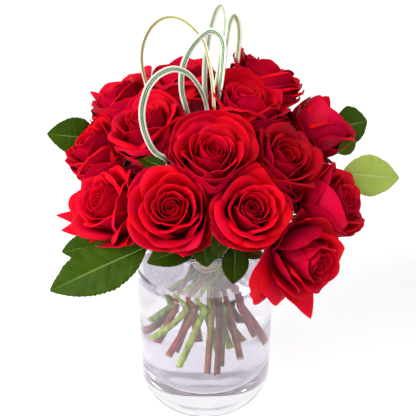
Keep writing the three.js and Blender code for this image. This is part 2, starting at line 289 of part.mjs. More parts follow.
function bloomSolid(i) {
  const rose = ROSES[i];
  const R = rose.radius;
  const H = R * BLOOM_HEIGHT;
  const rings = [
    [0, GAP + 0.2], [4.6 / R, GAP + 0.3], [0.55, 0.16 * H], [0.86, 0.42 * H], [0.99, 0.72 * H],
    [1.04, 0.90 * H], [0.93, 0.985 * H], [0.62, 0.97 * H], [0.36, 1.0 * H], [0.12, 0.95 * H], [0, 0.93 * H],
  ].map((q) => [q[0] * R, q[1]]);
  const g = lathe(rings, 12);
  const a = V(rose.axis);
  const u = new THREE.Vector3(0, 0, 1).cross(a).normalize();
  const w = a.clone().cross(u);
  const lobes = 5;
  return faceOut(map(g, (v) => {
    const r = Math.hypot(v.x, v.y);
    const t = Math.atan2(v.y, v.x);
    const k = r / R;
    const rr = r * (1 + 0.05 * k * Math.cos(lobes * t + i * 1.7));
    const h = v.z + (k > 0.5 ? 0.03 * H * Math.cos(lobes * t + i * 1.7 + 0.8) * Math.min(1, v.z / (0.5 * H)) : 0);
    const p = V(rose.base).addScaledVector(a, h).addScaledVector(u, rr * Math.cos(t)).addScaledVector(w, rr * Math.sin(t));
    return keepInCell(p, i);
  }));
}

// ---- leaves -------------------------------------------------------------
// Stalk and blade are one strip: narrow and thick along the stalk, wide, thin
// and folded along the midrib in the blade.
function leafSolid(leaf, grow) {
  const start = V(leaf.start), base = V(leaf.base), tip = V(leaf.tip);
  const along = tip.clone().sub(base);
  const face = V(leaf.face).normalize();
  const side = along.clone().cross(face).normalize();
  side.applyAxisAngle(along.clone().normalize(), leaf.tilt * Math.PI / 180);
  const up = side.clone().cross(along).normalize();
  const mid = base.clone().add(tip).multiplyScalar(0.5).addScaledVector(up, leaf.bulge);
  const stalk = new THREE.LineCurve3(start, base);
  const blade = new THREE.QuadraticBezierCurve3(base, mid, tip);
  const st = [0, 0.5, 0.97];                     // stations on the stalk
  const bl = [0.06, 0.2, 0.38, 0.56, 0.74, 0.9, 1.0];
  const w = [0.34, 0.78, 1.0, 0.95, 0.72, 0.36, 0.05];
  const rows = [];
  for (const t of st) rows.push({ p: stalk.getPoint(t), d: stalk.getTangent(t), w: PETIOLE, h: PETIOLE, fold: 0 });
  for (let i = 0; i < bl.length; i++) {
    rows.push({ p: blade.getPoint(bl[i]), d: blade.getTangent(bl[i]), w: Math.max(w[i] * leaf.halfWidth, 0.7), h: BLADE, fold: leaf.fold });
  }
  const n = rows.length - 1;
  const strip = new THREE.BoxGeometry(2, 2, n, 2, 1, n);
  return faceOut(map(strip, (v) => {
    const f = rows[Math.round(v.z + n / 2)];
    const d = f.d.clone().normalize();
    const s = side.clone().sub(d.clone().multiplyScalar(side.dot(d))).normalize();
    const b = s.clone().cross(d);
    const half = f.w + grow;
    const q = f.p.clone().addScaledVector(s, v.x * half);
    q.addScaledVector(b, Math.abs(v.x) * f.w * f.fold + Math.sign(v.y) * (f.h + grow));
    if (grow > 0 && Math.round(v.z + n / 2) === n) q.addScaledVector(d, grow);
    return q;
  }));
}

// ---- grass blades -------------------------------------------------------
function grassSolid(blade, grow) {
  const curve = new THREE.CatmullRomCurve3(blade.path.map(V), false, 'centripetal');
  const n = 28;
  // the flat of the blade turns half towards the middle of its loop
  const centre = blade.path.map(V).reduce((a, b) => a.add(b), new THREE.Vector3()).divideScalar(blade.path.length);
  const depth = new THREE.Vector3(0, -0.84, 0.54);
  const strip = new THREE.BoxGeometry(2, 2, n, 1, 1, n);
  return faceOut(map(strip, (v) => {
    const k = Math.round(v.z + n / 2) / n;
    const p = curve.getPointAt(k);
    const t = curve.getTangentAt(k).normalize();
    const out = p.clone().sub(centre);
    out.sub(t.clone().multiplyScalar(out.dot(t))).normalize();
    const flat = t.clone().cross(depth).normalize();
    if (flat.dot(out) < 0) flat.negate();
    const s = depth.clone().multiplyScalar(0.72).addScaledVector(flat, 0.69);
    s.sub(t.clone().multiplyScalar(s.dot(t))).normalize();
    const b = s.clone().cross(t);
    const taper = Math.min(1, 0.35 + 5 * Math.min(k, 1 - k));
    if (k === 0) p.addScaledVector(t, -grow);
    if (k === 1) p.addScaledVector(t, grow);
    return p.addScaledVector(s, v.x * (blade.width / 2 * taper + grow)).addScaledVector(b, v.y * (GRASS_HALF + grow));
  }));
}

// ---- the tie ------------------------------------------------------------
function tieSolid() {
  const z0 = TIE_Z[0], z1 = TIE_Z[1], r0 = TIE_INNER, r1 = TIE_OUTER;
  const g = lathe([[r0, z0 + 0.6], [r0 + 0.6, z0], [r1 - 0.7, z0], [r1, z0 + 0.9], [r1 - 0.35, (z0 + z1) / 2],
    [r1, z1 - 0.9], [r1 - 0.7, z1], [r0 + 0.6, z1], [r0, z1 - 0.6], [r0, z0 + 0.6]], 28);
  g.translate(NECK[0], NECK[1], 0);
  return g;
}

// ---- assembly -----------------------------------------------------------
const materials = {
  glass: new THREE.MeshStandardMaterial({ color: 0xe9ebf2, roughness: 0.04, metalness: 0, transparent: true, opacity: 0.35 }),
  water: new THREE.MeshStandardMaterial({ color: 0xe2e6ee, roughness: 0.05, metalness: 0, transparent: true, opacity: 0.4 }),
  raffia: new THREE.MeshStandardMaterial({ color: 0xc7a98a, roughness: 0.8, metalness: 0 }),
  petal: new THREE.MeshStandardMaterial({ color: 0xb8041a, roughness: 0.6, metalness: 0 }),
  stem: new THREE.MeshStandardMaterial({ color: 0x5d6b2c, roughness: 0.6, metalness: 0 }),
  leaf: new THREE.MeshStandardMaterial({ color: 0x1e3d1a, roughness: 0.4, metalness: 0 }),
  grass: new THREE.MeshStandardMaterial({ color: 0x9fb58a, roughness: 0.45, metalness: 0 }),
};

const group = new THREE.Group();

function add(name, geometry, material) {
  const mesh = new THREE.Mesh(geometry, material);
  mesh.name = name;
  group.add(mesh);
}

add('vase', vaseSolid(), materials.glass);
add('water', waterSolid(), materials.water);
add('tie', tieSolid(), materials.raffia);

const thin = [
  ...LEAVES.map((l) => toSolid(leafSolid(l, GAP))),
  ...GRASS.map((g) => toSolid(grassSolid(g, GAP))),
];

const stemsGrown = {};
for (const s of STEMS) stemsGrown[s.name] = toSolid(stemSolid(s, GAP));

ROSES.forEach((rose, i) => {
  let solid = toSolid(bloomSolid(i));
  for (const s of STEMS) if (s.name.slice(-2) !== rose.name.slice(-2)) solid = solid.subtract(stemsGrown[s.name]);
  for (const t of thin) {
    const cut = solid.subtract(t);
    solid = cut;
  }
  const pieces = solid.decompose();
  pieces.sort((a, b) => b.volume() - a.volume());
  add(rose.name, toGeometry(pieces[0]), materials.petal);
});
STEMS.forEach((s) => add(s.name, stemSolid(s, 0), materials.stem));
LEAVES.forEach((l) => add(l.name, leafSolid(l, 0), materials.leaf));
GRASS.forEach((g) => add(g.name, grassSolid(g, 0), materials.grass));

export default group;
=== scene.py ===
# A bunch of red roses in a clear glass cylinder vase with water: the finished
# surfaces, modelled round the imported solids. Lengths below are in millimetres
# in the row frame and become metres when a mesh is written.
import math
import bpy
import numpy as np
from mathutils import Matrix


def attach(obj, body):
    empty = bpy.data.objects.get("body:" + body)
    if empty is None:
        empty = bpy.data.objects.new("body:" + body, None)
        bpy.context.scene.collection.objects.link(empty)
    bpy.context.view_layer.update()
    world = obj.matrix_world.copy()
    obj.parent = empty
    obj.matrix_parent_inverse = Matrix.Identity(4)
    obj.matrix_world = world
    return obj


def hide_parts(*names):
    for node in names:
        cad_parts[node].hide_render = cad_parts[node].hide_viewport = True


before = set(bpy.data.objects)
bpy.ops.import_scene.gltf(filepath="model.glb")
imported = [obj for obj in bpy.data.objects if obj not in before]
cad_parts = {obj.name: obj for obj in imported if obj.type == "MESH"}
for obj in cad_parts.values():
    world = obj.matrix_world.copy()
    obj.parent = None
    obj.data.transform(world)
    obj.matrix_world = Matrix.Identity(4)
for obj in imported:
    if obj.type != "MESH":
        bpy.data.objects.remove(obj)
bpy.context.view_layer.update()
MM = 0.001

# ---- the vase, the water and the tie --------------------------------------
VASE_RADIUS, VASE_BORE, VASE_HEIGHT = 63.5, 58.0, 200.0
HEEL_RADIUS, FLOOR_Z, FLOOR_CORNER, LIP = 28.0, 40.0, 12.0, 2.6
WATER_Z = 158.0
NECK = (1.0, -11.0)
TIE_Z = (162.5, 171.5)
TIE_INNER, TIE_OUTER = 16.3, 17.9
STEM_RADIUS = 2.4
CELL_HEIGHT = 0.62

# name, top of the receptacle, the way the bloom faces, radius
ROSES = [
    ('bloom_01', (-19.44, -59.58, 240.52), (-0.1573, -0.6609, 0.7338), 34.0),
    ('bloom_02', (29.57, -62.33, 239.85), (0.2475, -0.6069, 0.7552), 32.0),
    ('bloom_03', (4.57, -44.55, 266.99), (0.0399, -0.3541, 0.9343), 34.0),
    ('bloom_04', (50.66, -30.21, 257.56), (0.4483, -0.2319, 0.8633), 32.0),
    ('bloom_05', (-61.88, -32.96, 226.1), (-0.6609, -0.3621, 0.6574), 32.0),
    ('bloom_06', (-76.35, 0.71, 253.93), (-0.6185, -0.0921, 0.7803), 31.0),
    ('bloom_07', (-38.82, -5.58, 269.76), (-0.3334, -0.0136, 0.9427), 33.0),
    ('bloom_08', (-60.1, 37.84, 272.55), (-0.4893, 0.2443, 0.8372), 32.0),
    ('bloom_09', (-15.14, 43.78, 280.15), (-0.1163, 0.367, 0.9229), 34.0),
    ('bloom_10', (28.24, 8.24, 281.32), (0.2257, 0.0978, 0.9693), 31.0),
    ('bloom_11', (44.03, 45.78, 289.56), (0.3024, 0.3419, 0.8898), 32.0),
    ('bloom_12', (85.38, 28.03, 257.72), (0.6388, 0.2396, 0.7311), 32.0),
    ('bloom_13', (86.81, -33.76, 229.07), (0.7829, -0.2462, 0.5714), 32.0),
    ('bloom_14', (64.18, -62.59, 213.76), (0.6689, -0.7297, 0.1419), 31.0),
    ('bloom_15', (-59.45, 34.53, 225.35), (-0.6168, 0.3998, 0.678), 32.0),
    ('bloom_16', (-17.87, 69.73, 223.6), (-0.1805, 0.7448, 0.6425), 32.0),
    ('bloom_17', (37.28, 64.29, 223.92), (0.3703, 0.6782, 0.6348), 32.0),
    ('bloom_18', (68.31, 29.03, 212.86), (0.852, 0.426, 0.3043), 32.0),
]

# each stem from its cut end up to the receptacle of the bloom of that number
STEMS = [
    ('stem_01', [(-3.5, 39.8, 50.0), (-4.3, 33.2, 65.1), (-5.2, 26.8, 79.8), (-6.0, 20.7, 93.6), (-7.0, 14.9, 106.4), (-8.0, 9.5, 118.4), (-9.2, 4.1, 129.9), (-10.5, -1.1, 140.7), (-11.4, -4.9, 148.0), (-11.7, -7.6, 153.1), (-11.8, -9.7, 157.5), (-11.6, -11.5, 161.8), (-11.2, -14.0, 168.5), (-11.0, -15.7, 173.2), (-11.1, -17.2, 176.8), (-11.5, -19.4, 181.7), (-12.2, -23.0, 189.0), (-13.0, -27.1, 196.4), (-13.8, -31.6, 203.8), (-14.7, -36.8, 211.6), (-15.8, -42.8, 220.1), (-16.9, -48.6, 227.8), (-17.8, -52.5, 232.7), (-19.4, -59.6, 240.5)]),
    ('stem_02', [(-30.9, 6.5, 62.0), (-27.9, 3.0, 76.3), (-25.5, -0.1, 88.9), (-23.8, -3.0, 99.7), (-22.7, -5.3, 106.7), (-21.1, -8.9, 115.0), (-19.9, -11.7, 122.1), (-19.1, -13.3, 127.4), (-18.0, -14.3, 133.1), (-15.8, -15.3, 142.6), (-13.3, -16.2, 152.4), (-11.5, -16.7, 157.9), (-10.0, -17.2, 161.6), (-8.4, -18.5, 166.7), (-6.2, -20.6, 173.3), (-3.5, -23.0, 179.6), (0.4, -26.5, 187.4), (4.8, -30.8, 195.5), (9.7, -35.7, 203.8), (15.2, -41.6, 212.7), (21.2, -48.4, 222.1), (25.3, -53.5, 228.7), (27.1, -56.3, 232.4), (29.6, -62.3, 239.9)]),
    ('stem_03', [(-17.2, 24.6, 44.0), (-15.4, 19.6, 60.1), (-13.6, 14.7, 75.7), (-11.8, 10.2, 90.5), (-10.1, 5.9, 104.0), (-8.5, 1.8, 116.7), (-6.8, -2.5, 129.8), (-5.8, -4.9, 137.1), (-5.3, -6.1, 141.3), (-4.8, -7.1, 145.1), (-4.3, -8.0, 149.0), (-4.0, -8.8, 152.8), (-3.7, -9.7, 156.7), (-3.5, -10.9, 161.6), (-3.0, -12.8, 168.8), (-2.1, -15.9, 180.1), (-1.1, -19.4, 192.0), (-0.2, -22.8, 203.5), (0.8, -26.4, 214.9), (1.8, -30.2, 226.6), (2.8, -34.4, 239.1), (3.7, -38.1, 249.8), (4.1, -40.4, 256.1), (4.6, -44.5, 267.0)]),
    ('stem_04', [(-25.0, 0.4, 51.0), (-21.5, -2.6, 65.5), (-18.2, -5.5, 78.8), (-15.0, -8.4, 91.3), (-12.0, -11.4, 103.4), (-8.9, -14.8, 115.7), (-6.5, -17.5, 125.7), (-4.9, -19.2, 133.0), (-3.4, -20.3, 139.6), (-1.5, -21.2, 147.6), (1.1, -22.0, 157.6), (4.0, -22.8, 167.7), (6.6, -23.2, 175.9), (8.8, -23.6, 182.4), (11.8, -23.9, 189.9), (15.2, -24.2, 197.7), (19.2, -24.4, 205.5), (23.7, -24.7, 213.6), (29.1, -25.2, 222.3), (35.5, -25.8, 232.1), (41.2, -26.6, 240.8), (44.1, -27.2, 245.3), (46.2, -27.9, 249.0), (50.7, -30.2, 257.6)]),
    ('stem_05', [(9.0, 15.6, 44.0), (7.3, 13.5, 57.5), (5.6, 11.5, 71.0), (3.8, 9.4, 84.4), (2.1, 7.4, 97.5), (0.4, 5.5, 110.1), (-1.4, 3.5, 122.3), (-3.2, 1.7, 133.1), (-4.5, 0.0, 140.7), (-5.9, -2.1, 147.9), (-7.5, -5.1, 157.1), (-8.9, -7.2, 164.7), (-10.3, -8.5, 169.9), (-11.4, -9.3, 173.1), (-13.0, -10.0, 176.1), (-15.6, -11.1, 180.0), (-19.9, -12.7, 185.7), (-25.1, -14.8, 191.7), (-30.5, -17.1, 197.5), (-36.5, -19.9, 203.2), (-43.4, -23.3, 209.3), (-51.3, -27.3, 216.0), (-56.0, -29.7, 220.2), (-61.9, -33.0, 226.1)]),
    ('stem_06', [(19.0, 32.9, 50.0), (16.5, 29.0, 63.6), (14.1, 25.2, 77.0), (11.6, 21.5, 90.0), (9.0, 17.8, 102.5), (6.3, 14.2, 114.5), (3.4, 10.7, 126.2), (0.1, 6.9, 137.9), (-3.2, 3.1, 149.5), (-5.5, 0.0, 158.4), (-7.8, -2.2, 167.2), (-9.2, -3.4, 173.0), (-10.4, -3.8, 176.6), (-12.4, -3.7, 180.6), (-16.6, -3.0, 187.5), (-22.4, -2.1, 196.1), (-28.6, -1.3, 204.4), (-35.2, -0.6, 212.2), (-42.4, 0.1, 219.8), (-50.5, 0.8, 227.5), (-59.7, 1.6, 235.8), (-66.1, 1.9, 241.6), (-70.0, 1.6, 246.0), (-76.4, 0.7, 253.9)]),
    ('stem_07', [(15.7, 6.3, 60.0), (13.5, 4.6, 74.9), (11.3, 2.8, 89.3), (9.1, 1.1, 103.4), (6.9, -0.6, 117.1), (4.8, -2.2, 130.1), (3.0, -3.4, 140.7), (1.6, -4.1, 148.6), (0.0, -4.8, 157.5), (-1.7, -5.3, 166.1), (-3.4, -5.7, 174.1), (-5.2, -6.0, 181.5), (-7.1, -6.2, 188.6), (-9.1, -6.4, 195.5), (-11.3, -6.4, 202.3), (-13.7, -6.4, 209.3), (-16.5, -6.4, 216.5), (-19.6, -6.3, 224.2), (-23.2, -6.1, 232.6), (-27.7, -5.8, 242.6), (-32.2, -5.5, 252.4), (-34.2, -5.5, 257.0), (-35.7, -5.5, 261.0), (-38.8, -5.6, 269.8)]),
    ('stem_08', [(38.6, 10.4, 52.0), (34.4, 9.2, 68.7), (30.3, 8.1, 84.5), (26.8, 7.2, 97.0), (22.3, 6.1, 111.1), (17.5, 5.2, 125.2), (12.5, 4.4, 139.2), (9.4, 3.6, 147.7), (7.1, 2.2, 155.0), (5.4, 1.0, 160.5), (4.3, 0.8, 164.4), (3.0, 1.0, 168.5), (1.4, 1.6, 172.5), (-1.4, 3.1, 178.2), (-6.7, 5.7, 189.1), (-12.1, 8.3, 200.0), (-17.3, 11.1, 209.5), (-22.8, 14.4, 218.6), (-28.9, 18.2, 227.9), (-35.9, 22.8, 237.7), (-44.2, 28.5, 248.7), (-51.0, 33.0, 257.7), (-54.4, 35.0, 262.8), (-60.1, 37.8, 272.6)]),
    ('stem_09', [(24.2, -6.8, 52.0), (21.9, -6.3, 69.3), (19.6, -5.7, 86.0), (17.3, -5.1, 102.0), (15.2, -4.2, 116.7), (13.4, -3.1, 130.1), (12.2, -2.0, 140.6), (11.8, -1.6, 147.9), (11.3, -1.8, 154.2), (10.4, -2.1, 159.1), (9.7, -1.9, 163.7), (8.7, -1.1, 170.2), (8.3, -0.1, 175.8), (8.1, 1.4, 182.2), (7.3, 2.9, 187.9), (5.5, 5.5, 196.6), (2.8, 9.0, 207.0), (-0.0, 13.2, 217.7), (-3.1, 18.1, 228.6), (-6.3, 23.9, 240.1), (-9.8, 30.7, 252.7), (-12.6, 36.6, 263.4), (-13.8, 39.5, 269.4), (-15.1, 43.8, 280.1)]),
    ('stem_10', [(1.1, -18.8, 43.5), (1.9, -17.9, 61.8), (2.6, -16.9, 78.1), (3.3, -15.8, 92.8), (3.8, -14.5, 106.4), (4.1, -13.1, 119.0), (4.1, -12.0, 128.6), (3.7, -11.0, 138.9), (3.3, -10.6, 145.7), (2.8, -10.5, 153.4), (2.4, -10.6, 161.1), (2.4, -10.5, 166.1), (2.7, -10.4, 170.7), (3.2, -10.1, 175.7), (4.2, -9.6, 181.3), (6.0, -8.6, 190.3), (8.7, -7.0, 202.0), (11.5, -5.0, 213.8), (14.5, -2.5, 226.3), (17.9, 0.5, 240.0), (22.1, 4.3, 256.0), (24.4, 6.2, 265.0), (25.6, 7.1, 270.1), (28.2, 8.2, 281.3)]),
    ('stem_11', [(8.5, -21.4, 43.5), (9.0, -20.2, 62.6), (9.4, -19.0, 80.6), (9.5, -17.9, 97.2), (9.4, -16.7, 112.7), (9.1, -15.3, 127.6), (8.7, -13.7, 141.2), (8.3, -12.6, 152.8), (8.2, -11.9, 160.1), (8.1, -10.7, 166.5), (8.2, -9.5, 171.7), (8.8, -8.3, 176.1), (10.0, -6.7, 182.0), (12.5, -3.7, 191.8), (15.3, -0.1, 202.0), (18.1, 4.0, 212.0), (21.0, 8.7, 221.9), (24.2, 14.0, 232.2), (27.8, 20.3, 243.1), (31.9, 27.7, 255.2), (36.5, 35.7, 267.8), (38.8, 39.4, 274.3), (40.5, 41.7, 279.0), (44.0, 45.8, 289.6)]),
    ('stem_12', [(-39.1, -2.0, 69.0), (-30.3, -5.7, 85.1), (-22.6, -8.9, 99.0), (-18.4, -10.3, 107.1), (-12.6, -11.5, 119.5), (-7.4, -12.7, 129.9), (-2.3, -14.5, 139.5), (2.1, -16.3, 147.7), (4.8, -17.1, 153.5), (7.4, -17.6, 160.4), (9.5, -17.5, 165.7), (11.5, -16.9, 170.2), (13.8, -15.6, 175.1), (17.8, -13.6, 181.7), (23.9, -10.5, 191.1), (30.0, -7.0, 199.7), (36.2, -3.1, 207.7), (43.0, 1.5, 215.6), (50.7, 6.8, 223.6), (59.9, 13.3, 232.4), (70.0, 20.4, 241.6), (75.1, 23.7, 246.3), (78.5, 25.4, 249.8), (85.4, 28.0, 257.7)]),
    ('stem_13', [(-37.3, 3.9, 88.0), (-31.8, 0.8, 99.9), (-26.5, -2.1, 110.8), (-22.1, -4.4, 119.1), (-17.7, -7.3, 126.4), (-12.3, -11.2, 134.8), (-8.1, -13.6, 141.2), (-4.5, -15.0, 147.3), (-1.2, -15.8, 154.0), (1.9, -16.4, 162.3), (5.1, -17.0, 170.1), (7.5, -17.5, 174.7), (10.1, -18.4, 178.1), (15.3, -20.3, 183.2), (22.7, -22.7, 189.7), (30.5, -24.6, 195.9), (38.9, -26.0, 202.1), (48.1, -27.1, 208.2), (58.3, -28.1, 214.5), (67.0, -28.9, 219.4), (72.1, -29.7, 221.6), (78.0, -31.1, 223.9), (81.8, -32.2, 225.5), (86.8, -33.8, 229.1)]),
    ('stem_14', [(-38.1, 17.7, 60.0), (-33.8, 13.5, 72.6), (-29.6, 9.6, 84.7), (-25.6, 6.0, 96.6), (-21.5, 2.7, 108.6), (-17.4, -0.4, 120.7), (-14.6, -3.0, 129.8), (-12.3, -6.3, 138.2), (-9.5, -10.9, 147.8), (-6.4, -14.8, 155.9), (-3.1, -18.9, 164.0), (-0.8, -22.6, 171.7), (1.3, -25.0, 176.6), (4.0, -27.4, 180.6), (8.0, -29.8, 184.9), (14.6, -32.8, 190.5), (22.8, -36.3, 196.6), (32.0, -40.1, 202.6), (41.7, -44.3, 208.5), (45.8, -46.3, 210.7), (48.9, -48.3, 211.6), (53.4, -52.0, 212.2), (58.4, -56.5, 212.7), (64.2, -62.6, 213.8)]),
    ('stem_15', [(23.3, 5.1, 90.0), (20.1, 4.2, 100.0), (17.0, 3.4, 109.7), (13.9, 2.8, 119.1), (10.8, 2.2, 128.2), (7.5, 1.9, 137.2), (4.0, 1.7, 146.3), (1.6, 1.6, 153.5), (-0.2, 1.6, 159.6), (-2.0, 1.3, 164.9), (-3.9, 0.6, 170.8), (-5.2, 0.4, 174.2), (-6.5, 0.7, 176.6), (-8.3, 1.8, 179.4), (-11.9, 4.5, 184.4), (-16.6, 7.9, 190.1), (-21.6, 11.2, 195.3), (-26.9, 14.5, 200.1), (-32.7, 18.0, 204.7), (-39.1, 21.9, 209.2), (-46.3, 26.3, 213.8), (-51.7, 29.6, 217.5), (-54.9, 31.6, 220.3), (-59.4, 34.5, 225.3)]),
    ('stem_16', [(33.5, -0.0, 73.0), (30.3, -0.6, 85.9), (27.3, -1.2, 98.5), (24.4, -2.0, 110.6), (21.7, -3.1, 121.8), (19.1, -4.7, 132.3), (16.3, -6.2, 140.8), (12.9, -7.1, 147.9), (9.3, -7.1, 154.6), (6.6, -6.2, 160.9), (4.4, -5.0, 168.3), (3.5, -3.5, 174.1), (2.9, -1.3, 178.8), (2.1, 2.2, 183.1), (0.8, 7.8, 188.1), (-1.6, 15.9, 194.1), (-4.6, 25.2, 200.3), (-8.0, 35.2, 206.4), (-11.5, 45.5, 212.5), (-13.3, 51.1, 215.2), (-14.7, 56.7, 216.5), (-15.9, 61.6, 218.2), (-16.7, 65.1, 219.7), (-17.9, 69.7, 223.6)]),
    ('stem_17', [(10.4, -7.0, 46.0), (10.6, -7.5, 60.7), (10.9, -8.0, 75.3), (11.2, -8.6, 89.6), (11.6, -9.2, 103.4), (12.4, -9.9, 116.5), (13.5, -11.1, 129.2), (14.4, -12.4, 140.8), (14.7, -12.6, 147.5), (14.4, -11.6, 153.1), (13.2, -8.5, 162.1), (12.3, -5.5, 170.7), (12.5, -3.8, 175.3), (13.6, -1.6, 178.9), (15.6, 3.3, 184.3), (18.2, 11.4, 191.4), (21.0, 20.7, 198.6), (23.8, 30.8, 205.6), (26.6, 40.9, 212.1), (28.2, 46.0, 214.6), (30.5, 51.2, 216.0), (32.9, 56.0, 217.9), (34.7, 59.6, 219.6), (37.3, 64.3, 223.9)]),
    ('stem_18', [(-18.8, -8.0, 44.0), (-15.6, -9.1, 57.8), (-12.4, -10.1, 71.4), (-9.4, -11.3, 84.8), (-6.4, -12.7, 97.8), (-3.5, -14.4, 110.4), (-0.4, -16.3, 122.4), (3.0, -17.9, 133.1), (6.6, -18.9, 142.6), (9.4, -18.7, 149.4), (11.5, -17.2, 155.1), (13.0, -14.7, 162.0), (13.5, -11.7, 169.7), (13.8, -9.9, 174.5), (15.2, -8.4, 177.7), (18.8, -5.7, 182.4), (25.6, -0.9, 189.2), (33.1, 4.9, 196.1), (41.0, 11.6, 203.1), (45.9, 15.9, 207.2), (49.3, 18.5, 208.6), (55.6, 22.3, 209.6), (61.3, 25.5, 210.5), (68.3, 29.0, 212.9)]),
]

# name, start of the stalk, base and tip of the blade, half width, tilt, bulge,
# fold, the way the upper side looks
LEAVES = [
    ('leaf_left_upper', (-53.7, 30.8, 256.6), (-94.3, 22.0, 269.0), (-134.3, 8.0, 282.4), 17, 10, 5, 0.18, (0.157, -0.87, 0.467)),
    ('leaf_left_middle', (-52.7, -29.6, 213.5), (-68.3, -44.0, 213.0), (-123.0, -40.0, 193.5), 15, -20, 5, 0.2, (0.134, -0.807, 0.574)),
    ('leaf_left_lower', (-48.0, -29.4, 212.9), (-49.0, -58.0, 211.6), (-129.5, -74.0, 177.9), 22, 8, 6, 0.12, (0.128, -0.791, 0.598)),
    ('leaf_front_left', (12.4, -44.0, 212.8), (-7.3, -66.0, 218.4), (-47.0, -78.0, 210.0), 13, 25, 4, 0.2, (0.043, -0.807, 0.589)),
    ('leaf_front_centre', (-14.6, -51.6, 227.4), (-1.5, -74.0, 230.0), (1.7, -84.0, 210.5), 12, 0, 3, 0.22, (0.004, -0.808, 0.589)),
    ('leaf_front_small', (22.7, -56.0, 228.2), (15.3, -76.0, 235.3), (6.5, -84.0, 222.4), 7, 0, 2, 0.25, (-0.012, -0.814, 0.581)),
    ('leaf_front_right', (23.1, -54.4, 224.1), (24.3, -72.0, 222.7), (22.8, -88.0, 196.3), 16, -15, 4, 0.2, (-0.031, -0.8, 0.599)),
    ('leaf_pale_right', (24.7, -50.4, 221.0), (48.9, -62.0, 206.4), (25.5, -66.0, 210.3), 7, 40, 2, 0.2, (-0.049, -0.807, 0.589)),
    ('leaf_back_right', (72.9, 22.9, 239.9), (118.9, 56.0, 263.0), (148.1, 64.0, 266.0), 17, 0, 4, 0.15, (-0.166, -0.876, 0.454)),
    ('leaf_right_small', (73.8, 18.8, 241.8), (116.3, 18.0, 258.3), (132.3, 26.0, 267.8), 7, 20, 2, 0.2, (-0.161, -0.865, 0.476)),
    ('leaf_right_light', (70.9, 16.7, 239.5), (117.9, -2.0, 248.8), (169.1, 4.0, 241.2), 18, -5, 4, 0.12, (-0.188, -0.843, 0.504)),
    ('leaf_between', (0.2, -39.2, 251.1), (-31.9, -58.0, 287.5), (-54.6, -36.0, 284.9), 6, 30, 1, 0.25, (0.068, -0.865, 0.498)),
    ('leaf_back_first', (-18.4, 56.8, 215.9), (-51.7, 66.2, 214.0), (-93.1, 93.5, 196.0), 19, 0, 8, 0.15, (-0.369, 0.473, 0.8)),
    ('leaf_back_second', (-10.6, 55.0, 215.4), (8.8, 83.5, 216.0), (-2.0, 130.0, 200.0), 18, 0, 8, 0.15, (0.063, 0.597, 0.8)),
    ('leaf_back_third', (34.2, 50.8, 215.1), (61.9, 59.7, 214.0), (84.6, 104.0, 196.0), 19, 0, 8, 0.15, (0.432, 0.417, 0.8)),
]

# name, path, width
GRASS = [
    ('grass_front_loop', [(-3.0, -6.0, 254.0), (0.0, 4.0, 278.0), (1.7, 12.0, 301.1), (0.0, 8.0, 314.2), (-5.6, 0.0, 331.4), (-14.2, -8.0, 345.5), (-24.1, -14.0, 351.6), (-34.9, -20.0, 350.0), (-43.5, -24.0, 341.7), (-48.5, -28.0, 329.0), (-49.5, -32.0, 317.9), (-46.5, -38.0, 305.1), (-39.6, -42.0, 292.8), (-30.2, -42.0, 285.5), (-26.0, -34.0, 272.0), (-20.0, -26.0, 255.0)], 6.0),
    ('grass_middle_loop', [(-9.0, 1.0, 258.0), (-13.0, 3.0, 281.0), (-15.0, 4.0, 305.1), (-18.9, 8.0, 321.4), (-18.7, 11.0, 337.9), (-14.5, 12.0, 351.5), (-7.9, 13.0, 362.2), (-1.5, 14.0, 368.6), (4.9, 15.0, 371.6), (11.3, 15.0, 368.2), (14.6, 15.0, 360.6), (14.7, 15.0, 348.5), (13.2, 13.0, 329.9), (10.0, 11.0, 309.0), (9.0, 8.0, 284.0), (6.0, 2.0, 260.0)], 5.5),
    ('grass_left_loop', [(-34.0, 14.0, 262.0), (-41.0, 18.0, 284.0), (-46.7, 22.0, 307.4), (-50.1, 30.0, 318.5), (-53.1, 34.0, 333.2), (-52.7, 36.0, 346.7), (-48.9, 37.0, 358.7), (-42.7, 36.0, 368.6), (-34.2, 34.0, 375.3), (-25.1, 31.0, 377.3), (-15.3, 28.0, 374.2), (-6.4, 25.0, 366.8), (-0.8, 23.0, 359.0), (2.5, 20.0, 348.1), (5.0, 15.0, 336.2), (6.6, 7.0, 323.7), (7.5, 2.0, 311.6), (9.0, -3.0, 280.0), (6.0, -9.0, 258.0)], 5.0),
    ('grass_tall_loop', [(4.0, 21.0, 256.0), (3.0, 18.0, 279.0), (2.5, 16.0, 301.0), (-0.0, 24.0, 315.8), (-0.0, 30.0, 333.1), (1.7, 31.0, 350.5), (4.9, 31.0, 369.6), (9.8, 31.0, 384.8), (13.0, 31.0, 387.3), (15.4, 30.0, 383.5), (16.4, 29.0, 368.7), (14.0, 27.0, 352.2), (11.7, 25.0, 333.5), (8.4, 24.0, 313.9), (6.8, 25.0, 298.4), (6.0, 28.0, 281.0), (5.0, 31.0, 258.0)], 5.5),
    ('grass_right_loop', [(17.0, 33.0, 258.0), (16.0, 30.0, 280.0), (13.6, 26.0, 297.9), (14.4, 32.0, 313.9), (16.0, 37.0, 335.5), (18.4, 40.0, 355.7), (20.7, 42.0, 368.9), (24.0, 43.0, 374.5), (27.4, 45.0, 367.8), (28.6, 47.0, 354.7), (28.1, 49.0, 341.3), (26.7, 51.0, 325.8), (24.4, 53.0, 311.7), (25.0, 52.0, 290.0), (26.0, 48.0, 268.0)], 5.0),
]


# ---- small helpers ----------------------------------------------------------
def unit(v):
    v = np.asarray(v, float)
    return v / (np.linalg.norm(v, axis=-1, keepdims=True) + 1e-12)


def lerp_table(x, xs, ys):
    return np.interp(x, xs, ys)


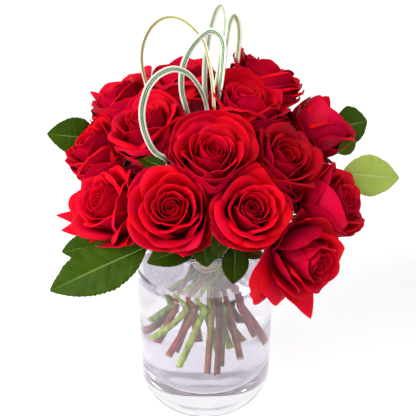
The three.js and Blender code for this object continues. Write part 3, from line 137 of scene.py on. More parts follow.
def make_mesh(name, verts, quads, tris=(), floats=None, vectors=None, colours=None):
    """A mesh object from arrays, with its attributes on the points."""
    verts = np.asarray(verts, float)
    quads = np.asarray(quads, int).reshape(-1, 4)
    tris = np.asarray(tris, int).reshape(-1, 3)
    me = bpy.data.meshes.new(name)
    me.vertices.add(len(verts))
    me.vertices.foreach_set("co", (verts * MM).astype(np.float32).ravel())
    loops = np.concatenate([quads.ravel(), tris.ravel()]).astype(np.int32)
    me.loops.add(len(loops))
    me.loops.foreach_set("vertex_index", loops)
    total = np.concatenate([np.full(len(quads), 4), np.full(len(tris), 3)]).astype(np.int32)
    start = np.concatenate([[0], np.cumsum(total)[:-1]]).astype(np.int32)
    me.polygons.add(len(total))
    me.polygons.foreach_set("loop_start", start)
    me.polygons.foreach_set("loop_total", total)
    me.polygons.foreach_set("use_smooth", np.ones(len(total), bool))
    me.update(calc_edges=True)
    for key, a in (floats or {}).items():
        me.attributes.new(key, "FLOAT", "POINT").data.foreach_set("value", np.asarray(a, np.float32).ravel())
    for key, a in (vectors or {}).items():
        me.attributes.new(key, "FLOAT_VECTOR", "POINT").data.foreach_set("vector", np.asarray(a, np.float32).ravel())
    for key, a in (colours or {}).items():
        a = np.asarray(a, np.float32)
        if a.shape[1] == 3:
            a = np.concatenate([a, np.ones((len(a), 1), np.float32)], 1)
        me.attributes.new(key, "FLOAT_COLOR", "POINT").data.foreach_set("color", a.ravel())
    me.validate(clean_customdata=False)
    ob = bpy.data.objects.new(name, me)
    bpy.context.scene.collection.objects.link(ob)
    return ob


class Builder:
    """Collects closed parts of one piece."""

    def __init__(self):
        self.v, self.q, self.t, self.f, self.w, self.c = [], [], [], {}, {}, {}
        self.n = 0

    def add(self, verts, quads, tris=(), floats=None, vectors=None, colours=None):
        verts = np.asarray(verts, float).reshape(-1, 3)
        self.v.append(verts)
        self.q.append(np.asarray(quads, int).reshape(-1, 4) + self.n)
        self.t.append(np.asarray(tris, int).reshape(-1, 3) + self.n)
        for store, given in ((self.f, floats), (self.w, vectors), (self.c, colours)):
            for k, a in (given or {}).items():
                a = np.asarray(a, float)
                if store is self.f:
                    a = np.broadcast_to(a, (len(verts),)) if a.ndim == 0 else a.ravel()
                else:
                    a = np.broadcast_to(a, (len(verts), a.shape[-1]))
                store.setdefault(k, []).append(a)
        self.n += len(verts)

    def make(self, name):
        return make_mesh(
            name, np.concatenate(self.v), np.concatenate(self.q), np.concatenate(self.t),
            {k: np.concatenate(a) for k, a in self.f.items()},
            {k: np.concatenate(a) for k, a in self.w.items()},
            {k: np.concatenate(a) for k, a in self.c.items()},
        )


def grid_quads(n, m, flip=False):
    """Quads of an n by m grid of points, row by row."""
    i, j = np.meshgrid(np.arange(n - 1), np.arange(m - 1), indexing="ij")
    a = (i * m + j).ravel()
    q = np.stack([a, a + 1, a + m + 1, a + m], -1)
    return q[:, ::-1] if flip else q


def grid_normals(p):
    du = np.gradient(p, axis=0)
    dv = np.gradient(p, axis=1)
    return unit(np.cross(du, dv))


def thick_grid(p, half):
    """A thin closed body from a grid of points: both faces and the strip round them.
    half is the half thickness, a number or a grid. Returns verts, quads; the first half of
    the verts lies on the side that the normals point to."""
    n, m = p.shape[:2]
    nor = grid_normals(p)
    h = np.broadcast_to(np.asarray(half, float), (n, m))[..., None]
    top, bot = (p + nor * h).reshape(-1, 3), (p - nor * h).reshape(-1, 3)
    q1 = grid_quads(n, m)
    k = n * m
    q2 = grid_quads(n, m, True) + k
    ring = np.concatenate([
        np.arange(m), np.arange(1, n) * m + m - 1,
        (n - 1) * m + np.arange(m - 2, -1, -1), np.arange(n - 2, 0, -1) * m,
    ])
    nxt = np.roll(ring, -1)
    side = np.stack([nxt, ring, ring + k, nxt + k], -1)
    # q1 runs row, column: its normal is along du x dv reversed, so turn all faces out
    q1, q2, side = q1[:, ::-1], q2[:, ::-1], side[:, ::-1]
    return np.concatenate([top, bot]), np.concatenate([q1, q2, side])


def tube(p, r, sides, frame_hint=(1, 0.31, 0.05), cap0=True, cap1=True):
    """A closed tube round the points p with radii r (n,) or (n, sides)."""
    n = len(p)
    t = unit(np.gradient(p, axis=0))
    s = np.array(frame_hint, float)
    S, Bv = np.zeros((n, 3)), np.zeros((n, 3))
    for i in range(n):
        s = s - t[i] * (s @ t[i])
        s = s / np.linalg.norm(s)
        S[i], Bv[i] = s, np.cross(t[i], s)
    a = np.arange(sides) * 2 * np.pi / sides
    r = np.asarray(r, float)
    if r.ndim == 1:
        r = np.repeat(r[:, None], sides, 1)
    ring = p[:, None] + S[:, None] * (r * np.cos(a))[..., None] + Bv[:, None] * (r * np.sin(a))[..., None]
    verts = ring.reshape(-1, 3)
    i, j = np.meshgrid(np.arange(n - 1), np.arange(sides), indexing="ij")
    b, c = (i * sides + j).ravel(), (i * sides + (j + 1) % sides).ravel()
    quads = np.stack([b, c, c + sides, b + sides], -1)
    tris = []
    if cap0:
        k = len(verts)
        verts = np.concatenate([verts, ring[0].mean(0)[None]])
        tris += [(k, (q + 1) % sides, q) for q in range(sides)]
    if cap1:
        k = len(verts)
        verts = np.concatenate([verts, ring[-1].mean(0)[None]])
        o = (n - 1) * sides
        tris += [(k, o + q, o + (q + 1) % sides) for q in range(sides)]
    return verts, quads, tris, (t, S, Bv, a)


def smooth_curve(points, step):
    """A centripetal spline through the points, at even steps."""
    P = np.asarray(points, float)
    P = np.concatenate([[2 * P[0] - P[1]], P, [2 * P[-1] - P[-2]]])
    out = []
    for i in range(1, len(P) - 2):
        p0, p1, p2, p3 = P[i - 1:i + 3]
        d = [max(np.linalg.norm(b - a) ** 0.5, 1e-4) for a, b in ((p0, p1), (p1, p2), (p2, p3))]
        t1 = (p1 - p0) / d[0] - (p2 - p0) / (d[0] + d[1]) + (p2 - p1) / d[1]
        t2 = (p2 - p1) / d[1] - (p3 - p1) / (d[1] + d[2]) + (p3 - p2) / d[2]
        t1, t2 = t1 * d[1], t2 * d[1]
        u = np.linspace(0, 1, 12, endpoint=False)[:, None]
        out.append(p1 + t1 * u + (3 * (p2 - p1) - 2 * t1 - t2) * u ** 2 + (2 * (p1 - p2) + t1 + t2) * u ** 3)
    out.append(P[-2][None])
    c = np.concatenate(out)
    L = np.r_[0, np.cumsum(np.linalg.norm(np.diff(c, axis=0), axis=1))]
    n = max(4, int(round(L[-1] / step)))
    s = np.linspace(0, L[-1], n + 1)
    return np.stack([np.interp(s, L, c[:, k]) for k in range(3)], -1), s


def value_noise(seed):
    """A cheap smooth random function of one number."""
    rng = np.random.default_rng(seed)
    f, ph, am = rng.uniform(0.5, 3.2, 6), rng.uniform(0, 6.28, 6), rng.uniform(0.3, 1, 6)
    am = am / am.sum()
    return lambda x: sum(am[i] * np.sin(f[i] * np.asarray(x) + ph[i]) for i in range(6))


# ---- node materials ---------------------------------------------------------
class Nodes:
    def __init__(self, name):
        self.mat = bpy.data.materials.new(name)
        self.mat.use_nodes = True
        self.nt = self.mat.node_tree
        self.nt.nodes.clear()
        self.out = self.nt.nodes.new("ShaderNodeOutputMaterial")

    def put(self, socket, value):
        if isinstance(value, bpy.types.NodeSocket):
            self.nt.links.new(value, socket)
        elif isinstance(value, (tuple, list)) and len(value) == 3 and socket.type == "RGBA":
            socket.default_value = (*value, 1)
        else:
            socket.default_value = value

    def node(self, kind, out=0, props=None, **inputs):
        n = self.nt.nodes.new(kind)
        for k, v in (props or {}).items():
            setattr(n, k, v)
        for k, v in inputs.items():
            key = k.replace("_", " ") if k.replace("_", " ") in n.inputs else k
            self.put(n.inputs[key] if key in n.inputs else n.inputs[int(k[1:])], v)
        return n.outputs[out] if out is not None else n

    def attr(self, name, out="Fac"):
        n = self.nt.nodes.new("ShaderNodeAttribute")
        n.attribute_type = "GEOMETRY"
        n.attribute_name = name
        return n.outputs[out]

    def math(self, op, a, b=0.0, c=0.0, clamp=False):
        n = self.nt.nodes.new("ShaderNodeMath")
        n.operation, n.use_clamp = op, clamp
        for i, v in enumerate((a, b, c)):
            self.put(n.inputs[i], v)
        return n.outputs[0]

    def mix(self, fac, a, b, blend="MIX"):
        n = self.nt.nodes.new("ShaderNodeMix")
        n.data_type, n.blend_type = "RGBA", blend
        self.put(n.inputs[0], fac)
        self.put(n.inputs[6], a)
        self.put(n.inputs[7], b)
        return n.outputs[2]

    def ramp(self, fac, *stops, smooth=True):
        n = self.nt.nodes.new("ShaderNodeValToRGB")
        e = n.color_ramp.elements
        n.color_ramp.interpolation = "EASE" if smooth else "LINEAR"
        while len(e) < len(stops):
            e.new(0.5)
        for i, (pos, col) in enumerate(stops):
            e[i].position = pos
            e[i].color = (*col, 1) if len(col) == 3 else col
        self.put(n.inputs[0], fac)
        return n.outputs[0]

    def smoothstep(self, x, a, b):
        n = self.nt.nodes.new("ShaderNodeMapRange")
        n.interpolation_type = "SMOOTHSTEP"
        self.put(n.inputs["Value"], x)
        n.inputs["From Min"].default_value, n.inputs["From Max"].default_value = a, b
        return n.outputs[0]

    def noise(self, vector, scale, detail=3.0, rough=0.55, out="Fac"):
        n = self.nt.nodes.new("ShaderNodeTexNoise")
        self.put(n.inputs["Vector"], vector)
        n.inputs["Scale"].default_value = scale
        n.inputs["Detail"].default_value = detail
        n.inputs["Roughness"].default_value = rough
        return n.outputs[out]

    def coords(self):
        return self.node("ShaderNodeTexCoord", "Object")

    def scaled(self, vector, x, y, z):
        n = self.nt.nodes.new("ShaderNodeVectorMath")
        n.operation = "MULTIPLY"
        self.put(n.inputs[0], vector)
        n.inputs[1].default_value = (x, y, z)
        return n.outputs[0]

    def bump(self, height, strength, distance, normal=None):
        n = self.nt.nodes.new("ShaderNodeBump")
        n.inputs["Strength"].default_value = strength
        n.inputs["Distance"].default_value = distance
        self.put(n.inputs["Height"], height)
        if normal is not None:
            self.put(n.inputs["Normal"], normal)
        return n.outputs[0]

    def principled(self, **inputs):
        n = self.nt.nodes.new("ShaderNodeBsdfPrincipled")
        for k, v in inputs.items():
            self.put(n.inputs[k.replace("_", " ")], v)
        return n

    def finish(self, shader):
        self.nt.links.new(shader, self.out.inputs["Surface"])
        return self.mat


def petal_material():
    """Velvety red petals: deep at the foot and in the folds and bright towards the rim, which is painted shade and
    painted light, as the foot of each petal lies in the shade of the others and the rim catches the light; a cooler
    pink-red on the backs, with fine veins fanning along the petal."""
    m = Nodes("petals")
    # the random attribute holds each petal's random tone together with painted light and shade
    s, rnd, back, layer = m.attr("along"), m.attr("random"), m.attr("back"), m.attr("layer")
    pc = m.attr("petal", "Vector")
    # painted shade and light: each petal darkest at its foot, in the shade of the petals round it, and lightest at its
    # rim where the light falls, on the face and on the back alike
    face = m.ramp(s, (0.0, (0.10, 0.0, 0.002)), (0.45, (0.34, 0.0, 0.005)), (0.8, (0.54, 0.0, 0.007)), (1.0, (0.66, 0.0004, 0.010)))
    rear = m.ramp(s, (0.0, (0.20, 0.0, 0.010)), (0.5, (0.40, 0.0, 0.022)), (1.0, (0.58, 0.0006, 0.026)))
    col = m.mix(back, face, rear)
    # soft patches of cooler, bluer red
    big = m.noise(m.coords(), 34.0, 2.0, 0.5)
    cool = m.math("MULTIPLY", m.smoothstep(big, 0.42, 0.70), 0.45)
    col = m.mix(cool, col, (0.44, 0.0, 0.045))
    # each petal a little lighter or darker: at random, and where its value is set, as painted light and shade
    tone = m.math("MULTIPLY_ADD", rnd, 0.36, 0.80)
    dark = m.node("ShaderNodeVectorMath", props={"operation": "SCALE"}, _0=col, Scale=tone)
    veins = m.noise(m.scaled(pc, 0.9, 0.07, 1.0), 2.2, 4.0, 0.6)
    lines = m.smoothstep(veins, 0.35, 0.65)
    col2 = m.mix(m.math("MULTIPLY", lines, 0.16), dark, (0.30, 0.0, 0.004))
    rough = m.math("MULTIPLY_ADD", veins, 0.16, 0.46)
    fine = m.noise(m.coords(), 900.0, 2.0, 0.5)
    h = m.math("ADD", m.math("MULTIPLY", veins, 1.0), m.math("MULTIPLY", fine, 0.25))
    nor = m.bump(h, 0.35, 0.0006)
    p = m.principled(Base_Color=col2, Roughness=rough, Normal=nor)
    p.inputs["Specular IOR Level"].default_value = 0.05
    p.inputs["Sheen Weight"].default_value = 0.035
    p.inputs["Sheen Roughness"].default_value = 0.38
    p.inputs["Sheen Tint"].default_value = (1.0, 0.06, 0.22, 1)
    return m.finish(p.outputs[0])


def leaf_material():
    """Leathery leaves: dark gloss above with pale veins, duller and paler below. The
    leaf's own tint runs from dark to a young yellow-green."""
    m = Nodes("leaves")
    u, v, under, tint = m.attr("across"), m.attr("along"), m.attr("under"), m.attr("tint")
    au = m.math("ABSOLUTE", u)
    mott = m.noise(m.coords(), 60.0, 4.0, 0.6)
    fine = m.noise(m.coords(), 420.0, 3.0, 0.6)
    dark = m.mix(mott, (0.013, 0.038, 0.001), (0.050, 0.100, 0.003))
    young = m.mix(mott, (0.23, 0.33, 0.03), (0.42, 0.50, 0.13))
    top = m.mix(tint, dark, young)
    low = m.mix(tint, m.mix(mott, (0.07, 0.13, 0.03), (0.12, 0.20, 0.05)), (0.36, 0.46, 0.20))
    col = m.mix(under, top, low)
    # side veins leave the midrib and sweep to the tip
    phase = m.math("MULTIPLY", m.math("SUBTRACT", v, m.math("MULTIPLY", au, 0.16)), 9.0)
    saw = m.math("ABSOLUTE", m.math("SUBTRACT", m.math("FRACT", phase), 0.5))
    side = m.smoothstep(saw, 0.455, 0.5)
    side = m.math("MULTIPLY", side, m.math("SUBTRACT", 1.0, m.math("MULTIPLY", au, 0.7)))
    rib = m.math("SUBTRACT", 1.0, m.smoothstep(au, 0.015, 0.06))
    vein = m.math("MAXIMUM", m.math("MULTIPLY", side, 0.55), rib)
    col = m.mix(m.math("MULTIPLY", vein, 0.55), col, m.mix(tint, (0.14, 0.22, 0.05), (0.45, 0.55, 0.22)))
    # a thin dry rim here and there
    edge = m.math("MULTIPLY", m.smoothstep(au, 0.955, 1.0), m.smoothstep(mott, 0.52, 0.66))
    col = m.mix(m.math("MULTIPLY", edge, 0.7), col, (0.42, 0.27, 0.12))
    # painted shade: the colour is scaled down on the leaves that lie in the shade of the blooms
    col = m.node("ShaderNodeVectorMath", props={"operation": "SCALE"}, _0=col, Scale=m.attr("shade"))
    rough = m.math("ADD", m.math("MULTIPLY", under, 0.22), m.math("MULTIPLY_ADD", fine, 0.18, 0.30))
    h = m.math("SUBTRACT", m.math("MULTIPLY", fine, 0.35), m.math("MULTIPLY", vein, 0.9))
    nor = m.bump(h, 0.5, 0.0004)
    p = m.principled(Base_Color=col, Roughness=rough, Normal=nor)
    p.inputs["Specular IOR Level"].default_value = 0.04
    p.inputs["Coat Weight"].default_value = 0.0
    p.inputs["Coat Roughness"].default_value = 0.2
    return m.finish(p.outputs[0])


def grass_material():
    """Striped grass: cream-white margins, green between with fine pale lines."""
    m = Nodes("grass")
    u, v, tint, pale = m.attr("across"), m.attr("along"), m.attr("tint"), m.attr("pale")
    au = m.math("ABSOLUTE", u)
    wob = m.noise(m.node("ShaderNodeCombineXYZ", X=m.math("MULTIPLY", v, 9.0), Y=u, Z=tint), 3.0, 2.0, 0.5)
    a = m.math("ADD", m.math("ADD", au, m.math("MULTIPLY", pale, 0.30)), m.math("MULTIPLY_ADD", wob, 0.16, -0.08))
    margin = m.smoothstep(a, 0.50, 0.60)
    fine = m.noise(m.node("ShaderNodeCombineXYZ", X=m.math("MULTIPLY", v, 3.0), Y=m.math("MULTIPLY", u, 7.0), Z=tint), 1.6, 3.0, 0.6)
    stripe = m.math("SINE", m.math("ADD", m.math("MULTIPLY", u, 11.5), m.math("MULTIPLY_ADD", wob, 3.0, tint)))
    lines = m.math("MAXIMUM", m.math("MULTIPLY", m.smoothstep(stripe, 0.15, 0.70), 0.95), m.smoothstep(fine, 0.56, 0.66))
    green = m.mix(lines, (0.035, 0.180, 0.045), (0.58, 0.72, 0.50))
    green = m.mix(m.smoothstep(tint, 0.5, 0.7), green, (0.34, 0.26, 0.035))
    green = m.mix(tint, green, m.mix(lines, (0.26, 0.29, 0.05), (0.50, 0.50, 0.22)))
    cream = m.mix(tint, (0.86, 0.88, 0.78), (0.86, 0.85, 0.60))
    col = m.mix(margin, green, cream)
    h = m.math("ADD", m.math("MULTIPLY", fine, 0.6), m.math("MULTIPLY", margin, 0.3))
    nor = m.bump(h, 0.4, 0.0003)
    rough = m.math("MULTIPLY_ADD", fine, 0.15, 0.30)
    p = m.principled(Base_Color=col, Roughness=rough, Normal=nor)
    p.inputs["Specular IOR Level"].default_value = 0.45
    return m.finish(p.outputs[0])


def stem_material():
    """Rose stems: the skin's colour is on the mesh; fine lengthwise streaks and flecks over it."""
    m = Nodes("stems")
    col = m.attr("skin", "Color")
    cut = m.attr("cut")
    mott = m.noise(m.scaled(m.coords(), 1.0, 1.0, 0.35), 260.0, 4.0, 0.6)
    fleck = m.noise(m.coords(), 700.0, 2.0, 0.5)
    dark = m.node("ShaderNodeVectorMath", props={"operation": "SCALE"}, _0=col, Scale=0.45)
    light = m.node("ShaderNodeVectorMath", props={"operation": "SCALE"}, _0=col, Scale=1.35)
    c = m.mix(m.smoothstep(mott, 0.30, 0.70), dark, light)
    c = m.mix(m.math("MULTIPLY", m.smoothstep(fleck, 0.62, 0.70), 0.35), c, (0.42, 0.33, 0.20))
    c = m.mix(cut, c, m.mix(mott, (0.52, 0.40, 0.22), (0.70, 0.60, 0.38)))
    rough = m.math("MULTIPLY_ADD", mott, 0.25, 0.35)
    nor = m.bump(mott, 0.5, 0.0005)
    p = m.principled(Base_Color=c, Roughness=rough, Normal=nor)
    p.inputs["Specular IOR Level"].default_value = 0.4
    return m.finish(p.outputs[0])


def raffia_material():
    """Dry raffia: matt beige fibre with fine lengthwise streaks."""
    m = Nodes("raffia")
    v = m.attr("run", "Vector")
    fib = m.noise(m.scaled(v, 0.05, 6.0, 1.0), 3.0, 4.0, 0.65)
    tone = m.noise(m.scaled(v, 0.03, 0.4, 1.0), 1.0, 2.0, 0.5)
    c = m.mix(m.smoothstep(fib, 0.3, 0.7), (0.36, 0.25, 0.15), (0.74, 0.60, 0.44))
    c = m.mix(m.math("MULTIPLY", tone, 0.5), c, (0.80, 0.70, 0.56))
    nor = m.bump(fib, 0.6, 0.0004)
    rough = m.math("MULTIPLY_ADD", fib, 0.2, 0.6)
    p = m.principled(Base_Color=c, Roughness=rough, Normal=nor)
    return m.finish(p.outputs[0])


def clear_material(name, ior, tint, shadow, scale, strength, mist=False):
    """Clear glass or water that lets soft light through to what is inside. Mist is a
    faint bloom of condensation on the bore above the water."""
    m = Nodes(name)
    n = m.noise(m.coords(), scale, 2.0, 0.5)
    nor = m.bump(n, strength, 0.0002)
    p = m.principled(Base_Color=tint, Roughness=m.math("MULTIPLY", n, 0.004), Normal=nor)
    p.inputs["IOR"].default_value = ior
    p.inputs["Transmission Weight"].default_value = 1.0
    t = m.node("ShaderNodeBsdfTransparent", Color=shadow)
    path = m.node("ShaderNodeLightPath", "Is Shadow Ray")
    mix = m.nt.nodes.new("ShaderNodeMixShader")
    m.put(mix.inputs[0], path)
    m.nt.links.new(p.outputs[0], mix.inputs[1])
    m.nt.links.new(t, mix.inputs[2])
    if not mist:
        return m.finish(mix.outputs[0])
    at = m.node("ShaderNodeSeparateXYZ", None, _0=m.coords())
    rad = m.math("SQRT", m.math("ADD", m.math("MULTIPLY", at.outputs[0], at.outputs[0]), m.math("MULTIPLY", at.outputs[1], at.outputs[1])))
    inner = m.math("SUBTRACT", 1.0, m.smoothstep(rad, 0.0590, 0.0596))
    above = m.smoothstep(at.outputs[2], 0.1585, 0.1600)
    fade = m.math("SUBTRACT", 1.0, m.math("MULTIPLY", m.smoothstep(at.outputs[2], 0.180, 0.197), 0.75))
    cloud = m.math("MULTIPLY_ADD", m.noise(m.coords(), 38.0, 4.0, 0.6), 0.36, 0.12)
    low = m.math("MULTIPLY", m.math("SUBTRACT", 1.0, m.smoothstep(at.outputs[2], 0.050, 0.066)), m.smoothstep(at.outputs[2], 0.034, 0.038))
    upper = m.math("MULTIPLY", above, m.math("MULTIPLY", fade, cloud))
    veil = m.math("MULTIPLY", inner, m.math("ADD", upper, m.math("MULTIPLY", low, 0.34)))
    d = m.node("ShaderNodeBsdfDiffuse", Color=(0.74, 0.71, 0.79))
    tl = m.node("ShaderNodeBsdfTranslucent", Color=(0.74, 0.71, 0.79))
    fog = m.nt.nodes.new("ShaderNodeMixShader")
    fog.inputs[0].default_value = 0.5
    m.nt.links.new(d, fog.inputs[1])
    m.nt.links.new(tl, fog.inputs[2])
    both = m.nt.nodes.new("ShaderNodeMixShader")
    m.put(both.inputs[0], veil)
    m.nt.links.new(mix.outputs[0], both.inputs[1])
    m.nt.links.new(fog.outputs[0], both.inputs[2])
    return m.finish(both.outputs[0])


def floor_material():
    m = Nodes("floor")
    n = m.noise(m.coords(), 3.0, 2.0, 0.5)
    c = m.mix(n, (0.955, 0.952, 0.96), (0.97, 0.968, 0.972))
    p = m.principled(Base_Color=c, Roughness=0.85)
    p.inputs["Specular IOR Level"].default_value = 0.1
    return m.finish(p.outputs[0])


PETAL, LEAF, BLADE = petal_material(), leaf_material(), grass_material()
STEM, RAFFIA = stem_material(), raffia_material()
GLASS = clear_material("glass", 1.50, (0.982, 0.979, 0.996), (0.972, 0.970, 0.985), 14.0, 0.04, mist=True)
WATER = clear_material("water", 1.33, (0.80, 0.79, 0.825), (0.985, 0.985, 0.992), 60.0, 0.02)


def place(ob, mat, slot, *nodes):
    ob.data.materials.append(mat)
    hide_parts(*nodes)
    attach(ob, "root")
    return ob


# ---- vase and water ---------------------------------------------------------
def arc(cx, cz, r, a0, a1, n):
    a = np.linspace(math.radians(a0), math.radians(a1), n + 1)
    return np.stack([cx + r * np.cos(a), cz + r * np.sin(a)], -1)


def lathe(profile, segments, centre=(0, 0)):
    """A closed body of revolution. The profile starts and ends on the axis."""
    p = np.asarray(profile, float)
    body = p[1:-1]
    n = len(body)
    a = np.arange(segments) * 2 * np.pi / segments
    ring = np.stack([
        centre[0] + body[:, :1] * np.cos(a), centre[1] + body[:, :1] * np.sin(a),
        np.repeat(body[:, 1:], segments, 1)], -1).reshape(-1, 3)
    i, j = np.meshgrid(np.arange(n - 1), np.arange(segments), indexing="ij")
    b, c = (i * segments + j).ravel(), (i * segments + (j + 1) % segments).ravel()
    quads = np.stack([b, c, c + segments, b + segments], -1)
    k = len(ring)
    verts = np.concatenate([ring, [[*centre, p[0, 1]], [*centre, p[-1, 1]]]])
    o = (n - 1) * segments
    tris = [(k, (q + 1) % segments, q) for q in range(segments)]
    tris += [(k + 1, o + q, o + (q + 1) % segments) for q in range(segments)]
    return verts, quads, tris


def make_vase():
    R, r, h = VASE_RADIUS, VASE_BORE, VASE_HEIGHT
    rim = R - LIP
    wall = np.stack([np.full(14, R), np.linspace(HEEL_RADIUS, h - LIP, 14)], -1)[1:-1]
    inner = np.stack([np.full(14, r), np.linspace(h - (R - r - LIP), FLOOR_Z + FLOOR_CORNER, 14)], -1)[1:-1]
    prof = np.concatenate([
        [[0, 1.4]], np.stack([np.linspace(4, 32, 15), 1.4 * (0.5 + 0.5 * np.cos(np.pi * np.clip((np.linspace(4, 32, 15) - 12) / 20, 0, 1)))], -1), [[33.8, 0.0]],
        arc(R - HEEL_RADIUS, HEEL_RADIUS, HEEL_RADIUS, -90, 0, 56),
        wall,
        arc(rim, h - LIP, LIP, 0, 90, 6),
        arc(r + (R - r - LIP), h - (R - r - LIP), R - r - LIP, 90, 180, 6)[1:] if R - r - LIP > 0.05 else np.zeros((0, 2)),
        inner,
        arc(r - FLOOR_CORNER, FLOOR_Z + FLOOR_CORNER, FLOOR_CORNER, 0, -90, 32),
        [[34, FLOOR_Z], [18, FLOOR_Z], [8, FLOOR_Z], [0, FLOOR_Z]],
    ])
    v, q, t = lathe(prof, 360)
    ob = make_mesh("clear_vase", v, q, t)
    return place(ob, GLASS, "vase", "vase")


def make_water():
    e = 0.12                                   # water wets the glass, so it reaches into it
    r, c = VASE_BORE + e, FLOOR_CORNER + e
    x = np.linspace(0, 1, 8)
    rise = np.stack([r - 4.2 * (1 - x), WATER_Z - 0.5 + 1.9 * x ** 2.6], -1)
    prof = np.concatenate([
        [[0, FLOOR_Z - e], [10, FLOOR_Z - e], [24, FLOOR_Z - e]],
        arc(r - c, FLOOR_Z - e + c, c, -90, 0, 32),
        np.stack([np.full(8, r), np.linspace(FLOOR_Z - e + c, WATER_Z + 1.4, 8)], -1)[1:-1],
        rise[::-1],
        [[44, WATER_Z - 0.5], [30, WATER_Z - 0.5], [12, WATER_Z - 0.5], [0, WATER_Z - 0.5]],
    ])
    v, q, t = lathe(prof, 360)
    ob = make_mesh("clear_water", v, q, t)
    return place(ob, WATER, "water", "water")


# ---- tie --------------------------------------------------------------------
def make_tie():
    b = Builder()
    rng = np.random.default_rng(77)
    strands = 9
    for k in range(strands):
        n = 120
        a = np.linspace(0, 2 * np.pi, n, endpoint=False)
        f = value_noise(500 + k)
        z = TIE_Z[0] + 0.9 + (TIE_Z[1] - TIE_Z[0] - 1.8) * (k + 0.5) / strands
        zz = z + 0.35 * f(2 * np.cos(a) + 2 * np.sin(a)) + 0.5 * np.sin(a + k * 1.9)
        rad = 17.05 + 0.42 * np.sin(a * 2 + k * 2.1) * (1 if k % 2 else -1)
        half_w, half_t = rng.uniform(0.75, 1.0), 0.26
        cen = np.stack([NECK[0] + rad * np.cos(a), NECK[1] + rad * np.sin(a), zz], -1)
        out = np.stack([np.cos(a), np.sin(a), np.zeros(n)], -1)
        up = np.array([0, 0, 1.0])
        sides = 10
        ph = np.arange(sides) * 2 * np.pi / sides
        tw = 0.35 * np.sin(a + k)
        ca, sa = np.cos(tw)[:, None, None], np.sin(tw)[:, None, None]
        ux = out[:, None] * ca + up * sa
        uz = up * ca - out[:, None] * sa
        ring = cen[:, None] + ux * (half_t * (1 + 0.25 * np.cos(3 * ph)) * np.cos(ph))[None, :, None] + uz * (half_w * np.sin(ph))[None, :, None]
        i, j = np.meshgrid(np.arange(n), np.arange(sides), indexing="ij")
        idx = lambda i, j: (i % n) * sides + j % sides
        quads = np.stack([idx(i, j), idx(i + 1, j), idx(i + 1, j + 1), idx(i, j + 1)], -1).reshape(-1, 4)
        run = np.stack([np.repeat(a * rad.mean(), sides), np.tile(ph, n) + 3 * k, np.full(n * sides, k * 7.0)], -1)
        b.add(ring.reshape(-1, 3), quads, vectors={"run": run})
    ob = b.make("raffia_tie")
    return place(ob, RAFFIA, "tie", "tie")


# ---- blooms -----------------------------------------------------------------
CELLS = np.array([np.array(r[1]) + unit(r[2]) * r[3] * CELL_HEIGHT for r in ROSES])
RADII = np.array([r[3] for r in ROSES])


FACING = np.array([unit(r[2]) for r in ROSES])
RANK = CELLS @ np.array([0.0, -0.84, 0.54])      # the outer and front blooms lie over the others
LEAN = 0.42
# where one bloom takes more of the room between two
BORDER = {(8, 7): 6.0, (7, 8): -6.0, (8, 9): 4.0, (9, 8): -4.0, (13, 1): 6.5, (1, 13): -6.5, (12, 3): 4.0, (3, 12): -4.0, (2, 6): 3.0, (6, 2): -3.0}

# how far the petals reach from the middle of the bloom, seen from the front: left, right, down, up
REACH = {
    "bloom_01": (42, 37, 32, 40), "bloom_02": (32, 38, 27, 46), "bloom_03": (37, 38, 60, 43), "bloom_04": (28, 42, 60, 42),
    "bloom_05": (58, 60, 31, 41), "bloom_06": (36, 60, 60, 40), "bloom_07": (38, 34, 60, 36), "bloom_08": (31, 60, 60, 32),
    "bloom_09": (44, 38, 60, 43), "bloom_10": (30, 46, 60, 42), "bloom_11": (30, 34, 60, 36), "bloom_12": (36, 41, 32, 40),
    "bloom_13": (46, 36, 26, 38), "bloom_14": (43, 39, 54, 36),
}
# slanting limits, seen from the front: (right, up) square to the limit and its distance from the middle in mm
SLANT = {"bloom_02": [(0.731, -0.683, 30.0)], "bloom_11": [(0.478, 0.878, 20.8)], "bloom_06": [(-0.744, 0.668, 24.5), (-0.836, -0.545, 28.5)], "bloom_09": [(-0.47, 0.883, 37.0)]}
RIGHT, RISE = np.array([1.0, 0, 0]), np.array([0, 0.545, 0.839])


def keep_in_cell(p, i, ease=1.0):
    """Draws points back towards the middle of bloom i where they would press into a neighbour.
    The limit between two blooms leans, so that one's petals lie over the other's."""
    c = CELLS[i]
    m = np.zeros(p.shape[:-1])
    for k in range(len(ROSES)):
        if k == i:
            continue
        n = CELLS[k] - c
        d = np.linalg.norm(n)
        if d > 100:
            continue
        n = n / d
        out = FACING[i] + FACING[k]
        out = unit(out - n * (out @ n))
        over = 1.0 if (RANK[i], i) > (RANK[k], k) else -1.0
        nn = unit(n - LEAN * over * out)
        lim = (d * RADII[i] / (RADII[i] + RADII[k]) + BORDER.get((i, k), 0.0)) * (n @ nn) - 0.34
        m = np.maximum(m, (p - c) @ nn / lim)
    soft = 0.82
    to = soft + (1 - soft) * np.tanh((m - soft) / (1 - soft))
    f = np.where(m > soft, to / np.maximum(m, 1e-6), 1.0)
    p = c + (p - c) * f[..., None]
    reach = REACH.get(ROSES[i][0])
    if reach:
        x, y = (p - c) @ RIGHT, (p - c) @ RISE
        ax, ay = np.where(x < 0, reach[0], reach[1]) * ease, np.where(y < 0, reach[2], reach[3]) * ease
        m = (np.abs(x / ax) ** 2.7 + np.abs(y / ay) ** 2.7) ** (1 / 2.7)
        soft = 0.84
        to = soft + (1.02 - soft) * np.tanh((m - soft) / (1.02 - soft))
        f = np.where(m > soft, to / np.maximum(m, 1e-6), 1.0) - 1.0
        p = p + (f * x)[..., None] * RIGHT + (f * y)[..., None] * RISE
    for sx, sy, far in SLANT.get(ROSES[i][0], []):
        way = sx * RIGHT + sy * RISE
        d = (p - c) @ way
        lim = 0.72 * far
        to = lim + (far - lim) * np.tanh((d - lim) / (far - lim))
        p = p + np.where(d > lim, to - d, 0.0)[..., None] * way
    return p


